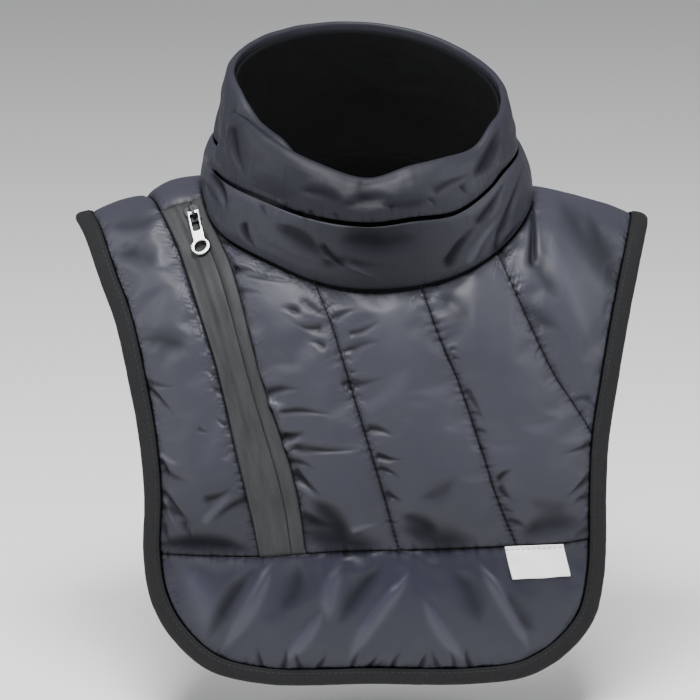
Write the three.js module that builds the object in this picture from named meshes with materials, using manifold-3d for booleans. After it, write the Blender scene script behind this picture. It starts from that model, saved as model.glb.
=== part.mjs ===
// Padded neck warmer with a bib front, an oblique zip and a two-roll stand collar, as worn.
// Millimetres, +Z up, front towards -Y. The origin is the centre of the neck hole,
// a little above the front neck seam, where the collar sits on a neck.
//
// Cloth is laid out on a flat pattern: x runs across the chest, s runs down the front from the
// shoulder line (negative over the back). formPoint() bends the pattern over the shoulders.
import * as THREE from 'three';
import { mergeVertices } from 'three/addons/utils/BufferGeometryUtils.js';
import Module from 'manifold-3d';

const wasm = await Module();
wasm.setup();

// Body form: the line of the shoulders, then an arch over each side and a straight fall
const SHOULDER = { top: 38, slope: 0.31, soft: 60 };
const SHOULDER_RISE = { left: 5.5, leftFrom: 40, right: 3.5, rightFrom: 110, width: 60, fade: 75 };
const ARCH_LENGTH = 135;
const FRONT = { depth: 100, radius: 300, drop: 92 };
const BACK = { depth: 108, radius: 260, drop: 55 };
const CHEST_BULGE = { out: 22, from: 50, to: 190 };
const NAPE = { rise: 12, width: 60, at: 72, reach: 40 };
// Soft fold across the top of the zip: a swell at its end and a hollow below, each a round spot
const ZIP_FOLD = [
  { x: -117, s: 22, reach: 18, height: 5 },
  { x: -101, s: 60, reach: 20, height: -6 },
];
const FOLD_LEAN = { out: 0.97, up: 0.24 };

// Cloth thicknesses
const SEAM_THICKNESS = 3;
const PANEL_PUFF = 6.5;
const TAPE_THICKNESS = 1.6;
const TAPE_LIFT = 0.8;
const GAP = 0.3;

// Edge binding: a folded strip round the whole bib, in four lengths that stop short of each other
// by a share of the way between two outline points
const BINDING = { width: 10.5, wall: 1.4, under: -1.7, over: 4.9, join: 0.006 };
const EDGE_MARGIN = 11;
const EDGE_COVERED = 2;

// Neck hole on the pattern, an ellipse flattened at its left front
const NECK = { x: 1, s: 13.5, halfWidth: 99, halfLength: 87.5, dent: 7, dentAt: 40, dentWidth: 22 };
const NECK_AXIS = { x: 1, y: -18 };

// Angles round the neck hole, degrees from the front towards the left side of the view
const ANGLE = { seam: 120, quilt3: -51.2, quilt2: -18.8, quilt1: 18, zip: 71, zipTop: 84 };

// Outline of the bib on the pattern, front and back in one loop
const OUTLINE = [
  { x: -132, s: 232, name: 'hemLeft' },
  { x: -128, s: 262 },
  { x: -115, s: 289 },
  { x: -92, s: 313 },
  { x: -60, s: 326 },
  { x: -28, s: 331 },
  { x: 4, s: 331.5 },
  { x: 34, s: 330 },
  { x: 66, s: 325 },
  { x: 97, s: 315.5 },
  { x: 121, s: 297 },
  { x: 137, s: 273.5 },
  { x: 142.5, s: 248 },
  { x: 143.7, s: 224, name: 'hemRight' },
  { x: 143.5, s: 194 },
  { x: 145.2, s: 163, name: 'quilt3' },
  { x: 150.5, s: 130 },
  { x: 156.5, s: 98 },
  { x: 163, s: 66 },
  { x: 169, s: 34 },
  { x: 172.5, s: 2 },
  { x: 171, s: -30, name: 'seamRight' },
  { x: 163, s: -75 },
  { x: 151, s: -120 },
  { x: 137, s: -162 },
  { x: 110, s: -194 },
  { x: 62, s: -206 },
  { x: 0, s: -208 },
  { x: -62, s: -206 },
  { x: -110, s: -194 },
  { x: -137, s: -162 },
  { x: -152, s: -120 },
  { x: -166, s: -75 },
  { x: -175, s: -30, name: 'seamLeft' },
  { x: -176, s: 2 },
  { x: -169, s: 33 },
  { x: -159, s: 68 },
  { x: -148.5, s: 98 },
  { x: -140, s: 133 },
  { x: -134, s: 166 },
  { x: -131, s: 200 },
];

// Seams and quilting lines, x across at a distance s down, and the hem seam, s down at an x
const ZIP_LEFT = [[-30, -136], [0, -130], [25, -123], [64, -110], [100, -98], [134, -87],
  [182, -76], [225, -66], [250, -61.5]];
const ZIP_RIGHT = [[30, -98], [43, -92.7], [77, -79.5], [123, -66.5], [154, -57.4], [192, -45],
  [216, -39.2], [252, -34.5]];
const QUILT_1 = [[90, -31.5], [124, -17.6], [170, -3.1], [217, 11.4], [252, 21]];
const QUILT_2 = [[90, 31], [121, 43.4], [144, 54.5], [184, 69.2], [208, 77.5], [240, 92]];
const QUILT_3 = [[68.4, 78.1], [98.6, 92.5], [127, 108], [152, 126.7], [163, 134.2]];
const HEM = [[-63, 245], [-36, 247.6], [-5, 248.8], [20, 247.6], [44, 244.3], [82, 236.5],
  [114, 229.5]];
const ZIP_TOP = 25.4;
const ZIP_CENTRE = 0.7;

// Collar, one long strip that winds once round the neck and overlaps at the left front.
// Inner face: radius from the neck axis and height, at the seam between the rolls and at the rim
const COLLAR = [
  { angle: 28, midRadius: 78.5, midHeight: 19, rimRadius: 69.5, rimHeight: 45 },
  { angle: 60, midRadius: 79.5, midHeight: 30, rimRadius: 71, rimHeight: 59 },
  { angle: 78, midRadius: 84.5, midHeight: 37, rimRadius: 75, rimHeight: 74 },
  { angle: 96, midRadius: 90, midHeight: 42, rimRadius: 79, rimHeight: 84 },
  { angle: 130, midRadius: 87, midHeight: 51, rimRadius: 77, rimHeight: 96 },
  { angle: 170, midRadius: 87, midHeight: 56, rimRadius: 77, rimHeight: 100 },
  { angle: 205, midRadius: 87, midHeight: 54, rimRadius: 79, rimHeight: 94 },
  { angle: 240, midRadius: 88, midHeight: 45, rimRadius: 81, rimHeight: 79 },
  { angle: 272, midRadius: 88, midHeight: 36, rimRadius: 79, rimHeight: 64 },
  { angle: 294, midRadius: 87, midHeight: 30, rimRadius: 78, rimHeight: 56 },
  { angle: 308, midRadius: 86.5, midHeight: 20.5, rimRadius: 77, rimHeight: 45 },
  { angle: 325, midRadius: 86.5, midHeight: 11, rimRadius: 76, rimHeight: 42 },
  { angle: 342, midRadius: 86.5, midHeight: 10, rimRadius: 76, rimHeight: 39 },
  { angle: 360, midRadius: 86, midHeight: 7.5, rimRadius: 76, rimHeight: 32.5 },
  { angle: 382, midRadius: 86.5, midHeight: 11, rimRadius: 77, rimHeight: 41 },
  { angle: 404, midRadius: 88, midHeight: 18.5, rimRadius: 78.5, rimHeight: 52 },
  { angle: 422, midRadius: 90, midHeight: 23, rimRadius: 80, rimHeight: 60.5 },
  { angle: 440, midRadius: 92, midHeight: 27, rimRadius: 81, rimHeight: 62 },
];
const COLLAR_START = 28;
const COLLAR_STEP = 9;
const FLAP = { upperTop: 424, upperBottom: 434, lowerTop: 438, lowerBottom: 434 };
const ROLL_PUFF = 3.8;
const OVERLAP_PUFF = 3;
const OVERLAP = { start: 28, clear: 96 };
const UNDERLAP_INSET = 9;
const LINING = { gap: 0.4, thickness: 1.6, end: 379 };

// Zip hardware
const SLIDER = { s: 36, plate: 1.4, length: 12.6, width: 9.4, tail: 7.2, over: 0.5, below: 1.6 };
const BRIDGE = { width: 1.7, reach: 4.4, leg: 1.2, height: 5, bar: 1 };
const POST = { width: 2.4, length: 2.6, at: 4.2 };
const PULL = { thickness: 1.3, arm: 4, slot: 2.4, slotEnd: 12.5, ringAt: 23.4, ring: 5.7 };
const PULL_EYE = { along: 4.1, across: 3.2, turn: 35 };
const PIVOT = { height: 2.3, along: -1.3 };
const PULL_REST = 5.5;
const PULL_YAW = 15;

const LABEL = { x: 78.5, width: 37, height: 20, thickness: 0.8, turn: -12.5, under: 0.4 };
const LABEL_PANEL_DEPTH = 72;

const RAD = Math.PI / 180;

const material = (name, color, roughness, metalness = 0) => {
  const made = new THREE.MeshStandardMaterial({ color, roughness, metalness });
  made.name = name;
  return made;
};

const SHELL = material('nylon_shell', 0x575a66, 0.35);
const HEM_SHELL = material('nylon_hem', 0x3f424e, 0.4);
const FLEECE = material('fleece_lining', 0x14161a, 0.95);
const TAPE = material('zip_tape', 0x3b3f43, 0.6);
const RIBBON = material('edge_binding', 0x3b3d42, 0.8);
const DARK_METAL = material('slider_metal', 0x1c1d20, 0.35, 1);
const NICKEL = material('nickel', 0xc9cccf, 0.25, 1);
const WHITE = material('label_tape', 0xf4f4f4, 0.7);

// Smooth value through a table of [position, value] rows
function through(rows) {
  const slope = rows.map((row, i) => {
    const before = rows[Math.max(i - 1, 0)];
    const after = rows[Math.min(i + 1, rows.length - 1)];
    return (after[1] - before[1]) / (after[0] - before[0]);
  });
  return (position) => {
    let i = 0;
    while (i < rows.length - 2 && position > rows[i + 1][0]) i += 1;
    const width = rows[i + 1][0] - rows[i][0];
    const t = (position - rows[i][0]) / width;
    const rise = t * t * (3 - 2 * t);
    const lean = t * (1 - t) * (1 - t) * slope[i] - t * t * (1 - t) * slope[i + 1];
    return rows[i][1] + (rows[i + 1][1] - rows[i][1]) * rise + lean * width;
  };
}

const clamp01 = (value) => Math.min(Math.max(value, 0), 1);

function smoothStep(from, to, value) {
  const t = clamp01((value - from) / (to - from));
  return t * t * (3 - 2 * t);
}

// One point of the bare body form below the pattern point (x, s)
function bodyPoint(x, s) {
  const side = s >= 0 ? FRONT : BACK;
  const reach = side.depth - (x * x) / (2 * side.radius);
  const along = Math.abs(s);
  const turn = (Math.min(along, ARCH_LENGTH) / ARCH_LENGTH) * (Math.PI / 2);
  let out = reach * Math.sin(turn);
  const fall = side.drop * (1 - Math.cos(turn)) + Math.max(along - ARCH_LENGTH, 0);
  let height = SHOULDER.top - SHOULDER.slope * Math.hypot(x, SHOULDER.soft) - fall;
  const { left, leftFrom, right, rightFrom, width, fade } = SHOULDER_RISE;
  const rise = left * smoothStep(leftFrom, leftFrom + width, -x)
    + right * smoothStep(rightFrom, rightFrom + width, x);
  height += rise * (1 - smoothStep(0, fade, along));
  if (s >= 0) {
    out += CHEST_BULGE.out * smoothStep(CHEST_BULGE.from, CHEST_BULGE.to, fall);
    for (const fold of ZIP_FOLD) {
      const away = ((x - fold.x) ** 2 + (s - fold.s) ** 2) / fold.reach ** 2;
      const swell = fold.height * smoothStep(0, 12, s) * Math.exp(-away);
      out += FOLD_LEAN.out * swell;
      height += FOLD_LEAN.up * swell;
    }
  } else {
    const along01 = (along - NAPE.at) / NAPE.reach;
    height += NAPE.rise * Math.exp(-((x / NAPE.width) ** 2) - along01 * along01);
  }
  return new THREE.Vector3(x, s >= 0 ? -out : out, height);
}

// Outward direction of the form
function bodyNormal(x, s) {
  const step = 0.5;
  const across = bodyPoint(x + step, s).sub(bodyPoint(x - step, s));
  const down = bodyPoint(x, s + step).sub(bodyPoint(x, s - step));
  return down.cross(across).normalize();
}

const formPoint = (x, s, lift) => bodyPoint(x, s).addScaledVector(bodyNormal(x, s), lift);

// Seam curves
const zipLeft = through(ZIP_LEFT);
const zipRight = through(ZIP_RIGHT);
const knot = (name) => OUTLINE.findIndex((row) => row.name === name);
const wrapped = (key) => {
  const count = OUTLINE.length;
  const rows = [];
  for (let i = -2; i < count + 3; i += 1) rows.push([i, OUTLINE[(i + count) % count][key]]);
  return through(rows);
};
const outlineX = wrapped('x');
const outlineS = wrapped('s');

const flat = (x, s) => new THREE.Vector2(x, s);

function run(count, at) {
  return Array.from({ length: count + 1 }, (_, i) => at(i / count));
}

// Outline between two knots, moved inwards by an inset
function outlineRun(from, to, count, inset) {
  return run(count, (t) => {
    const place = from + (to - from) * t;
    const ahead = flat(outlineX(place + 0.02), outlineS(place + 0.02));
    const behind = flat(outlineX(place - 0.02), outlineS(place - 0.02));
    const along = ahead.sub(behind).normalize();
    return flat(outlineX(place) + along.y * inset, outlineS(place) - along.x * inset);
  });
}

// Neck hole edge between two angles, moved inwards by an inset
function neckEdge(angle, inset) {
  const turn = angle * RAD;
  const lean = (((angle + 180) % 360) - 180 - NECK.dentAt) / NECK.dentWidth;
  const dent = NECK.dent * Math.exp(-lean * lean);
  const x = NECK.x - (NECK.halfWidth - inset) * Math.sin(turn);
  return flat(x, NECK.s + (NECK.halfLength - inset - dent) * Math.cos(turn));
}

const neckRun = (from, to, count) => run(count, (t) => neckEdge(from + (to - from) * t, 0));

const straightRun = (from, to, count) => run(count, (t) => from.clone().lerp(to, t));

// A line given as x at s, between two points whose ends it joins exactly
function lineRun(curve, from, to, count) {
  return run(count, (t) => {
    const s = from.y + (to.y - from.y) * t;
    const ends = (from.x - curve(from.y)) * (1 - t) + (to.x - curve(to.y)) * t;
    return flat(curve(s) + ends, s);
  });
}

function hemRun(from, to, count) {
  return run(count, (t) => {
    const x = from.x + (to.x - from.x) * t;
    return flat(x, hem(x));
  });
}

// Cloth on the pattern: points with a thickness, and four-sided cells
class ClothSheet {
  constructor() {
    this.points = [];
    this.cells = [];
  }

  vertex(point, thickness) {
    const near = (other) => Math.abs(other.x - point.x) + Math.abs(other.s - point.y) < 0.04;
    const found = this.points.findIndex(near);
    if (found >= 0) {
      this.points[found].thickness = Math.min(this.points[found].thickness, thickness);
      return found;
    }
    this.points.push({ x: point.x, s: point.y, thickness });
    return this.points.length - 1;
  }

  grid(columns, rows, at) {
    const index = [];
    for (let i = 0; i <= columns; i += 1) {
      index.push([]);
      for (let j = 0; j <= rows; j += 1) index[i].push(this.vertex(...at(i, j)));
    }
    const made = [];
    for (let i = 0; i < columns; i += 1) {
      for (let j = 0; j < rows; j += 1) {
        made.push([index[i][j], index[i][j + 1], index[i + 1][j + 1], index[i + 1][j]]);
      }
    }
    const turned = this.areaOf(made) < 0;
    this.cells.push(...made.map((cell) => (turned ? cell.reverse() : cell)));
  }

  // A quilted field between four edges, puffed in its middle
  patch({ top, bottom, left, right, puff }) {
    const columns = top.length - 1;
    const rows = left.length - 1;
    this.grid(columns, rows, (i, j) => {
      const u = i / columns;
      const v = j / rows;
      const point = top[i].clone().multiplyScalar(1 - v).addScaledVector(bottom[i], v);
      point.addScaledVector(left[j], 1 - u).addScaledVector(right[j], u);
      point.addScaledVector(top[0], (u - 1) * (1 - v)).addScaledVector(top[columns], -u * (1 - v));
      point.addScaledVector(bottom[0], (u - 1) * v).addScaledVector(bottom[columns], -u * v);
      const fullness = Math.sqrt(Math.max(Math.sin(Math.PI * u) * Math.sin(Math.PI * v), 0));
      return [point, SEAM_THICKNESS + puff * fullness];
    });
  }

  // A flat strip between two runs of the same length
  strip(inner, outer, thickness = SEAM_THICKNESS) {
    this.grid(inner.length - 1, 1, (i, j) => [(j ? outer : inner)[i], thickness]);
  }

  // Moves the sheet's border inwards
  trim(amount) {
    const move = this.points.map(() => []);
    for (const [from, to] of borderEdges(this.cells)) {
      const a = this.points[from];
      const b = this.points[to];
      const length = Math.hypot(b.x - a.x, b.s - a.s);
      const turn = { x: (b.s - a.s) / length, s: (a.x - b.x) / length };
      move[from].push(turn);
      move[to].push(turn);
    }
    this.points.forEach((point, i) => {
      if (move[i].length < 2) return;
      const x = (move[i][0].x + move[i][1].x) / 2;
      const s = (move[i][0].s + move[i][1].s) / 2;
      const scale = amount / Math.max(x * x + s * s, 0.3);
      point.x -= x * scale;
      point.s -= s * scale;
    });
  }

  // Area inside some cells, positive where they turn from x towards s
  areaOf(cells) {
    let sum = 0;
    for (const [from, to] of borderEdges(cells)) {
      const a = this.points[from];
      const b = this.points[to];
      sum += a.x * b.s - b.x * a.s;
    }
    return sum;
  }
}

// Edges used by one cell only, in the cells' own direction
function borderEdges(cells) {
  const used = new Set();
  const key = (a, b) => `${a}:${b}`;
  const each = (visit) => cells.forEach((cell) => {
    cell.forEach((from, k) => visit(from, cell[(k + 1) % cell.length]));
  });
  each((from, to) => used.add(key(from, to)));
  const edges = [];
  each((from, to) => {
    if (!used.has(key(to, from))) edges.push([from, to]);
  });
  return edges;
}

function geometryFrom(points, triangles) {
  const geometry = new THREE.BufferGeometry();
  geometry.setAttribute('position', new THREE.Float32BufferAttribute(points.flatMap((p) => p.toArray()), 3));
  geometry.setIndex(triangles.flat());
  let volume = 0;
  for (const [a, b, c] of triangles) volume += points[a].dot(points[b].clone().cross(points[c]));
  if (volume < 0) geometry.setIndex(triangles.map(([a, b, c]) => [a, c, b]).flat());
  return geometry;
}

// A closed wall between an inner and an outer face that share their cells
function wallSolid(faces, cells) {
  const points = [...faces.map((face) => face.inner), ...faces.map((face) => face.outer)];
  const lift = faces.length;
  const triangles = [];
  for (const [a, b, c, d] of cells) {
    triangles.push([a + lift, b + lift, c + lift], [a + lift, c + lift, d + lift]);
    triangles.push([a, c, b], [a, d, c]);
  }
  for (const [a, b] of borderEdges(cells)) triangles.push([a, b + lift, a + lift], [a, b, b + lift]);
  return geometryFrom(points, triangles);
}

function sheetSolid(sheet, lift = 0) {
  sheet.trim(GAP / 2);
  const faces = sheet.points.map(({ x, s, thickness }) => ({
    inner: formPoint(x, s, lift),
    outer: formPoint(x, s, lift + thickness),
  }));
  return wallSolid(faces, sheet.cells);
}

// A closed strip through equal sections, with flat ends
function stripSolid(sections, ends) {
  const size = sections[0].length;
  const last = (sections.length - 1) * size;
  const triangles = [];
  for (let here = 0; here < last; here += size) {
    for (let k = 0; k < size; k += 1) {
      const m = (k + 1) % size;
      const next = here + size;
      triangles.push([here + k, next + k, next + m], [here + k, next + m, here + m]);
    }
  }
  for (const [a, b, c] of ends) triangles.push([a, b, c], [last + a, last + c, last + b]);
  return geometryFrom(sections.flat(), triangles);
}

function toSolid(geometry) {
  const bare = geometry.clone();
  bare.deleteAttribute('normal');
  bare.deleteAttribute('uv');
  const merged = mergeVertices(bare, 1e-4);
  return new wasm.Manifold(new wasm.Mesh({
    numProp: 3,
    vertProperties: new Float32Array(merged.attributes.position.array),
    triVerts: new Uint32Array(merged.index.array),
  }));
}

function fromSolid(solid) {
  const mesh = solid.getMesh();
  const geometry = new THREE.BufferGeometry();
  geometry.setAttribute('position', new THREE.BufferAttribute(mesh.vertProperties, 3));
  geometry.setIndex(new THREE.BufferAttribute(mesh.triVerts, 1));
  return geometry;
}

const joined = (...geometries) => fromSolid(geometries.map(toSolid).reduce((a, b) => a.add(b)));

const garment = new THREE.Group();

function addPiece(name, geometry, finish, parent = garment) {
  const mesh = new THREE.Mesh(geometry, finish);
  mesh.name = name;
  parent.add(mesh);
  return mesh;
}

// Corner points that several pieces share
const K = {
  hemLeft: OUTLINE.length,
  hemRight: knot('hemRight'),
  quilt3: knot('quilt3'),
  seamRight: knot('seamRight'),
  seamLeft: knot('seamLeft'),
};
const edgeAt = (place) => outlineRun(place, place + 1, 1, EDGE_MARGIN)[0];
const hem = through([edgeAt(K.hemLeft).toArray(), ...HEM, edgeAt(K.hemRight).toArray()]);
const hemAt = (curve, guess) => {
  let s = guess;
  for (let i = 0; i < 20; i += 1) s = hem(curve(s));
  return flat(curve(s), s);
};
const corner = {
  hemLeft: edgeAt(K.hemLeft),
  hemRight: edgeAt(K.hemRight),
  seamLeft: edgeAt(K.seamLeft),
  seamRight: edgeAt(K.seamRight),
  quilt3: edgeAt(K.quilt3),
  zipLeftHem: hemAt(zipLeft, 245),
  zipRightHem: hemAt(zipRight, 247),
  quilt1Hem: hemAt(through(QUILT_1), 247),
  quilt2Hem: hemAt(through(QUILT_2), 235),
  zipLeftTop: flat(zipLeft(ZIP_TOP), ZIP_TOP),
  zipRightTop: neckEdge(ANGLE.zip, 0),
  tapeTop: neckEdge(ANGLE.zipTop, 0),
  neckLeft: neckEdge(ANGLE.seam, 0),
  neckRight: neckEdge(-ANGLE.seam, 0),
  neckQuilt1: neckEdge(ANGLE.quilt1, 0),
  neckQuilt2: neckEdge(ANGLE.quilt2, 0),
  neckQuilt3: neckEdge(ANGLE.quilt3, 0),
};
const seamWidth = corner.neckLeft.x - corner.seamLeft.x;
const zipShare = (zipLeft(OUTLINE[K.seamLeft].s) - corner.seamLeft.x) / seamWidth;
corner.zipSeam = corner.seamLeft.clone().lerp(corner.neckLeft, zipShare);

// Numbers of cells along the shared edges
const CELLS = { side: 16, sideTop: 4, hem: 22, quilt3: 9, rightSide: 4, field: 5, back: 14 };

function sidePanel() {
  const sheet = new ClothSheet();
  const lower = lineRun(zipLeft, corner.zipLeftTop, corner.zipLeftHem, CELLS.side - CELLS.sideTop);
  const upper = lineRun(zipLeft, corner.zipSeam, corner.zipLeftTop, CELLS.sideTop);
  const margin = outlineRun(K.seamLeft, K.hemLeft, CELLS.side, EDGE_MARGIN);
  sheet.patch({
    top: straightRun(corner.seamLeft, corner.zipSeam, CELLS.field),
    bottom: hemRun(corner.hemLeft, corner.zipLeftHem, CELLS.field),
    left: margin,
    right: [...upper.slice(0, -1), ...lower],
    puff: PANEL_PUFF,
  });
  sheet.strip(outlineRun(K.seamLeft, K.hemLeft, CELLS.side, EDGE_COVERED), margin);
  return sheetSolid(sheet);
}

function shoulderPatch() {
  const sheet = new ClothSheet();
  sheet.patch({
    top: straightRun(corner.zipSeam, corner.neckLeft, CELLS.field),
    bottom: straightRun(corner.zipLeftTop, corner.tapeTop, CELLS.field),
    left: lineRun(zipLeft, corner.zipSeam, corner.zipLeftTop, CELLS.sideTop),
    right: neckRun(ANGLE.seam, ANGLE.zipTop, CELLS.sideTop),
    puff: PANEL_PUFF / 3,
  });
  return sheetSolid(sheet);
}

function chestPanel() {
  const sheet = new ClothSheet();
  const rows = CELLS.quilt3 + CELLS.rightSide;
  const quilt1 = lineRun(through(QUILT_1), corner.neckQuilt1, corner.quilt1Hem, rows);
  const quilt2 = lineRun(through(QUILT_2), corner.neckQuilt2, corner.quilt2Hem, rows);
  const quilt3 = lineRun(through(QUILT_3), corner.neckQuilt3, corner.quilt3, CELLS.quilt3);
  const rightSide = outlineRun(K.quilt3, K.hemRight, CELLS.rightSide, EDGE_MARGIN);
  const shoulderSide = outlineRun(K.seamRight, K.quilt3, CELLS.quilt3, EDGE_MARGIN);
  sheet.patch({
    top: neckRun(ANGLE.zip, ANGLE.quilt1, CELLS.field),
    bottom: hemRun(corner.zipRightHem, corner.quilt1Hem, CELLS.field),
    left: lineRun(zipRight, corner.zipRightTop, corner.zipRightHem, rows),
    right: quilt1,
    puff: PANEL_PUFF,
  });
  sheet.patch({
    top: neckRun(ANGLE.quilt1, ANGLE.quilt2, CELLS.field),
    bottom: hemRun(corner.quilt1Hem, corner.quilt2Hem, CELLS.field),
    left: quilt1,
    right: quilt2,
    puff: PANEL_PUFF,
  });
  sheet.patch({
    top: neckRun(ANGLE.quilt2, ANGLE.quilt3, CELLS.field),
    bottom: hemRun(corner.quilt2Hem, corner.hemRight, CELLS.field),
    left: quilt2,
    right: [...quilt3.slice(0, -1), ...rightSide],
    puff: PANEL_PUFF,
  });
  sheet.patch({
    top: straightRun(corner.neckRight, corner.seamRight, CELLS.quilt3),
    bottom: quilt3,
    left: neckRun(-ANGLE.seam, ANGLE.quilt3, CELLS.quilt3),
    right: shoulderSide,
    puff: PANEL_PUFF,
  });
  sheet.strip(rightSide, outlineRun(K.quilt3, K.hemRight, CELLS.rightSide, EDGE_COVERED));
  sheet.strip(shoulderSide, outlineRun(K.seamRight, K.quilt3, CELLS.quilt3, EDGE_COVERED));
  return sheetSolid(sheet);
}

function hemPanel() {
  const sheet = new ClothSheet();
  const bottomLeft = K.hemLeft - OUTLINE.length + 3;
  const bottomRight = K.hemRight - 3;
  const rows = 5;
  const left = outlineRun(0, bottomLeft, rows, EDGE_MARGIN);
  const right = outlineRun(K.hemRight, bottomRight, rows, EDGE_MARGIN);
  const bottom = outlineRun(bottomLeft, bottomRight, CELLS.hem, EDGE_MARGIN);
  sheet.patch({
    top: hemRun(corner.hemLeft, corner.hemRight, CELLS.hem),
    bottom,
    left,
    right,
    puff: PANEL_PUFF,
  });
  sheet.strip(outlineRun(0, bottomLeft, rows, EDGE_COVERED), left);
  sheet.strip(outlineRun(bottomLeft, bottomRight, CELLS.hem, EDGE_COVERED), bottom);
  sheet.strip(outlineRun(bottomRight, K.hemRight, rows, EDGE_COVERED), right.slice().reverse());
  return sheetSolid(sheet);
}

function backPanel() {
  const sheet = new ClothSheet();
  const sides = { left: K.seamLeft - 4, right: K.seamRight + 4 };
  const rows = 9;
  const shoulder = 5;
  const left = outlineRun(K.seamLeft, sides.left, rows, EDGE_MARGIN);
  const right = outlineRun(K.seamRight, sides.right, rows, EDGE_MARGIN);
  const columns = 2 * shoulder + CELLS.back;
  const bottom = outlineRun(sides.left, sides.right, columns, EDGE_MARGIN);
  const top = [
    ...straightRun(corner.seamLeft, corner.neckLeft, shoulder).slice(0, -1),
    ...neckRun(ANGLE.seam, 360 - ANGLE.seam, CELLS.back).slice(0, -1),
    ...straightRun(corner.neckRight, corner.seamRight, shoulder),
  ];
  sheet.patch({ top, bottom, left, right, puff: PANEL_PUFF });
  sheet.strip(left, outlineRun(K.seamLeft, sides.left, rows, EDGE_COVERED));
  sheet.strip(bottom, outlineRun(sides.left, sides.right, columns, EDGE_COVERED));
  sheet.strip(right.slice().reverse(), outlineRun(sides.right, K.seamRight, rows, EDGE_COVERED));
  return sheetSolid(sheet);
}

// Zip tape between two shares of the zip's width, with a ridge along its middle
function zipTape(from, to) {
  const sheet = new ClothSheet();
  const rows = CELLS.quilt3 + CELLS.rightSide;
  const left = lineRun(zipLeft, corner.zipLeftTop, corner.zipLeftHem, rows + 2);
  const right = [
    ...neckRun(ANGLE.zipTop, ANGLE.zip, 2).slice(0, -1),
    ...lineRun(zipRight, corner.zipRightTop, corner.zipRightHem, rows),
  ];
  sheet.grid(2, rows + 2, (i, j) => {
    const share = from + ((to - from) * i) / 2;
    return [left[j].clone().lerp(right[j], share), TAPE_THICKNESS];
  });
  return sheetSolid(sheet, TAPE_LIFT);
}

// One length of the binding, through runs of [from, to, cells] along the outline. Its section is
// in the sheet's own directions: in from the edge, and up from the form
function edgeBinding(...runs) {
  const { width, wall, under, over } = BINDING;
  const section = [
    [width, under], [1.2, under], [0, under + 1.2], [0, over - 1.2], [1.2, over],
    [width, over], [width, over - wall], [wall, over - wall], [wall, under + wall],
    [width, under + wall],
  ];
  const ends = [[0, 1, 8], [0, 8, 9], [1, 2, 8], [2, 3, 7], [2, 7, 8], [3, 4, 7], [4, 5, 6], [4, 6, 7]];
  const last = runs.length - 1;
  const along = (inset) => runs.flatMap(([from, to, count], i) => {
    const start = i === 0 ? from + BINDING.join : from;
    const end = i === last ? to - BINDING.join : to;
    const points = outlineRun(start, end, count, inset);
    return i === last ? points : points.slice(0, -1);
  });
  const rails = section.map(([inset, lift]) => along(inset).map((p) => formPoint(p.x, p.y, lift)));
  return stripSolid(rails[0].map((_, i) => rails.map((rail) => rail[i])), ends);
}

// Collar surfaces
const collarRow = (key) => through(COLLAR.map((row) => [row.angle, row[key]]));
const collarAt = {
  midRadius: collarRow('midRadius'),
  midHeight: collarRow('midHeight'),
  rimRadius: collarRow('rimRadius'),
  rimHeight: collarRow('rimHeight'),
};

function aroundNeck(angle, radius, height) {
  const turn = angle * RAD;
  const x = NECK_AXIS.x - radius * Math.sin(turn);
  return new THREE.Vector3(x, NECK_AXIS.y - radius * Math.cos(turn), height);
}

// Share of the way from the overlap, where the rolls lie pressed together, to the free collar
function freedom(angle) {
  const under = smoothStep(OVERLAP.start + 30, OVERLAP.clear, angle);
  return under * (1 - smoothStep(OVERLAP.start + 335, OVERLAP.start + 365, angle));
}

// Inner and outer face of the collar: 0 is the neck seam, 1 the seam between rolls, 2 the rim
function collarFaces(angle, level) {
  const radial = aroundNeck(angle, 1, 0).sub(aroundNeck(angle, 0, 0));
  const inset = UNDERLAP_INSET * (1 - smoothStep(74, OVERLAP.clear, angle)) + 2 * GAP;
  const base = neckEdge(angle, inset);
  const mid = aroundNeck(angle, collarAt.midRadius(angle), collarAt.midHeight(angle));
  const rim = aroundNeck(angle, collarAt.rimRadius(angle), collarAt.rimHeight(angle));
  const low = level <= 1;
  const t = low ? level : level - 1;
  const start = low ? formPoint(base.x, base.y, 0.5) : mid;
  const end = low ? mid : rim;
  const inner = start.clone().lerp(end, t);
  const startWall = low ? bodyNormal(base.x, base.y) : radial;
  const wall = startWall.clone().lerp(radial, t).normalize();
  const slant = end.clone().sub(start);
  const tangent = radial.clone().cross(new THREE.Vector3(0, 0, 1));
  const swell = slant.cross(tangent).normalize();
  if (swell.dot(radial) < 0) swell.negate();
  const puff = OVERLAP_PUFF + (ROLL_PUFF - OVERLAP_PUFF) * freedom(angle);
  const outer = inner.clone().addScaledVector(wall, SEAM_THICKNESS);
  outer.addScaledVector(swell, puff * Math.sin(Math.PI * t));
  return { inner, outer, radial };
}

const COLLAR_CELLS = { high: 4, slanted: 4 };

// A strip of the collar between two levels, whose far end may slant
function collarGrid({ levels, endTop, endBottom }, makeFace) {
  const faces = [];
  const cells = [];
  const rows = COLLAR_CELLS.high * Math.round(levels[1] - levels[0]);
  const columns = Math.round((endBottom - COLLAR_START) / COLLAR_STEP);
  const square = columns - COLLAR_CELLS.slanted;
  for (let i = 0; i <= columns; i += 1) {
    for (let j = 0; j <= rows; j += 1) {
      const level = levels[0] + ((levels[1] - levels[0]) * j) / rows;
      const end = endBottom + (endTop - endBottom) * (j / rows);
      const even = COLLAR_START + COLLAR_STEP * Math.min(i, square);
      const late = Math.max(i - square, 0) / COLLAR_CELLS.slanted;
      faces.push(makeFace(even + (end - even) * late, level));
    }
  }
  const at = (i, j) => i * (rows + 1) + j;
  for (let i = 0; i < columns; i += 1) {
    for (let j = 0; j < rows; j += 1) cells.push([at(i, j), at(i, j + 1), at(i + 1, j + 1), at(i + 1, j)]);
  }
  return wallSolid(faces, cells);
}

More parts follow.
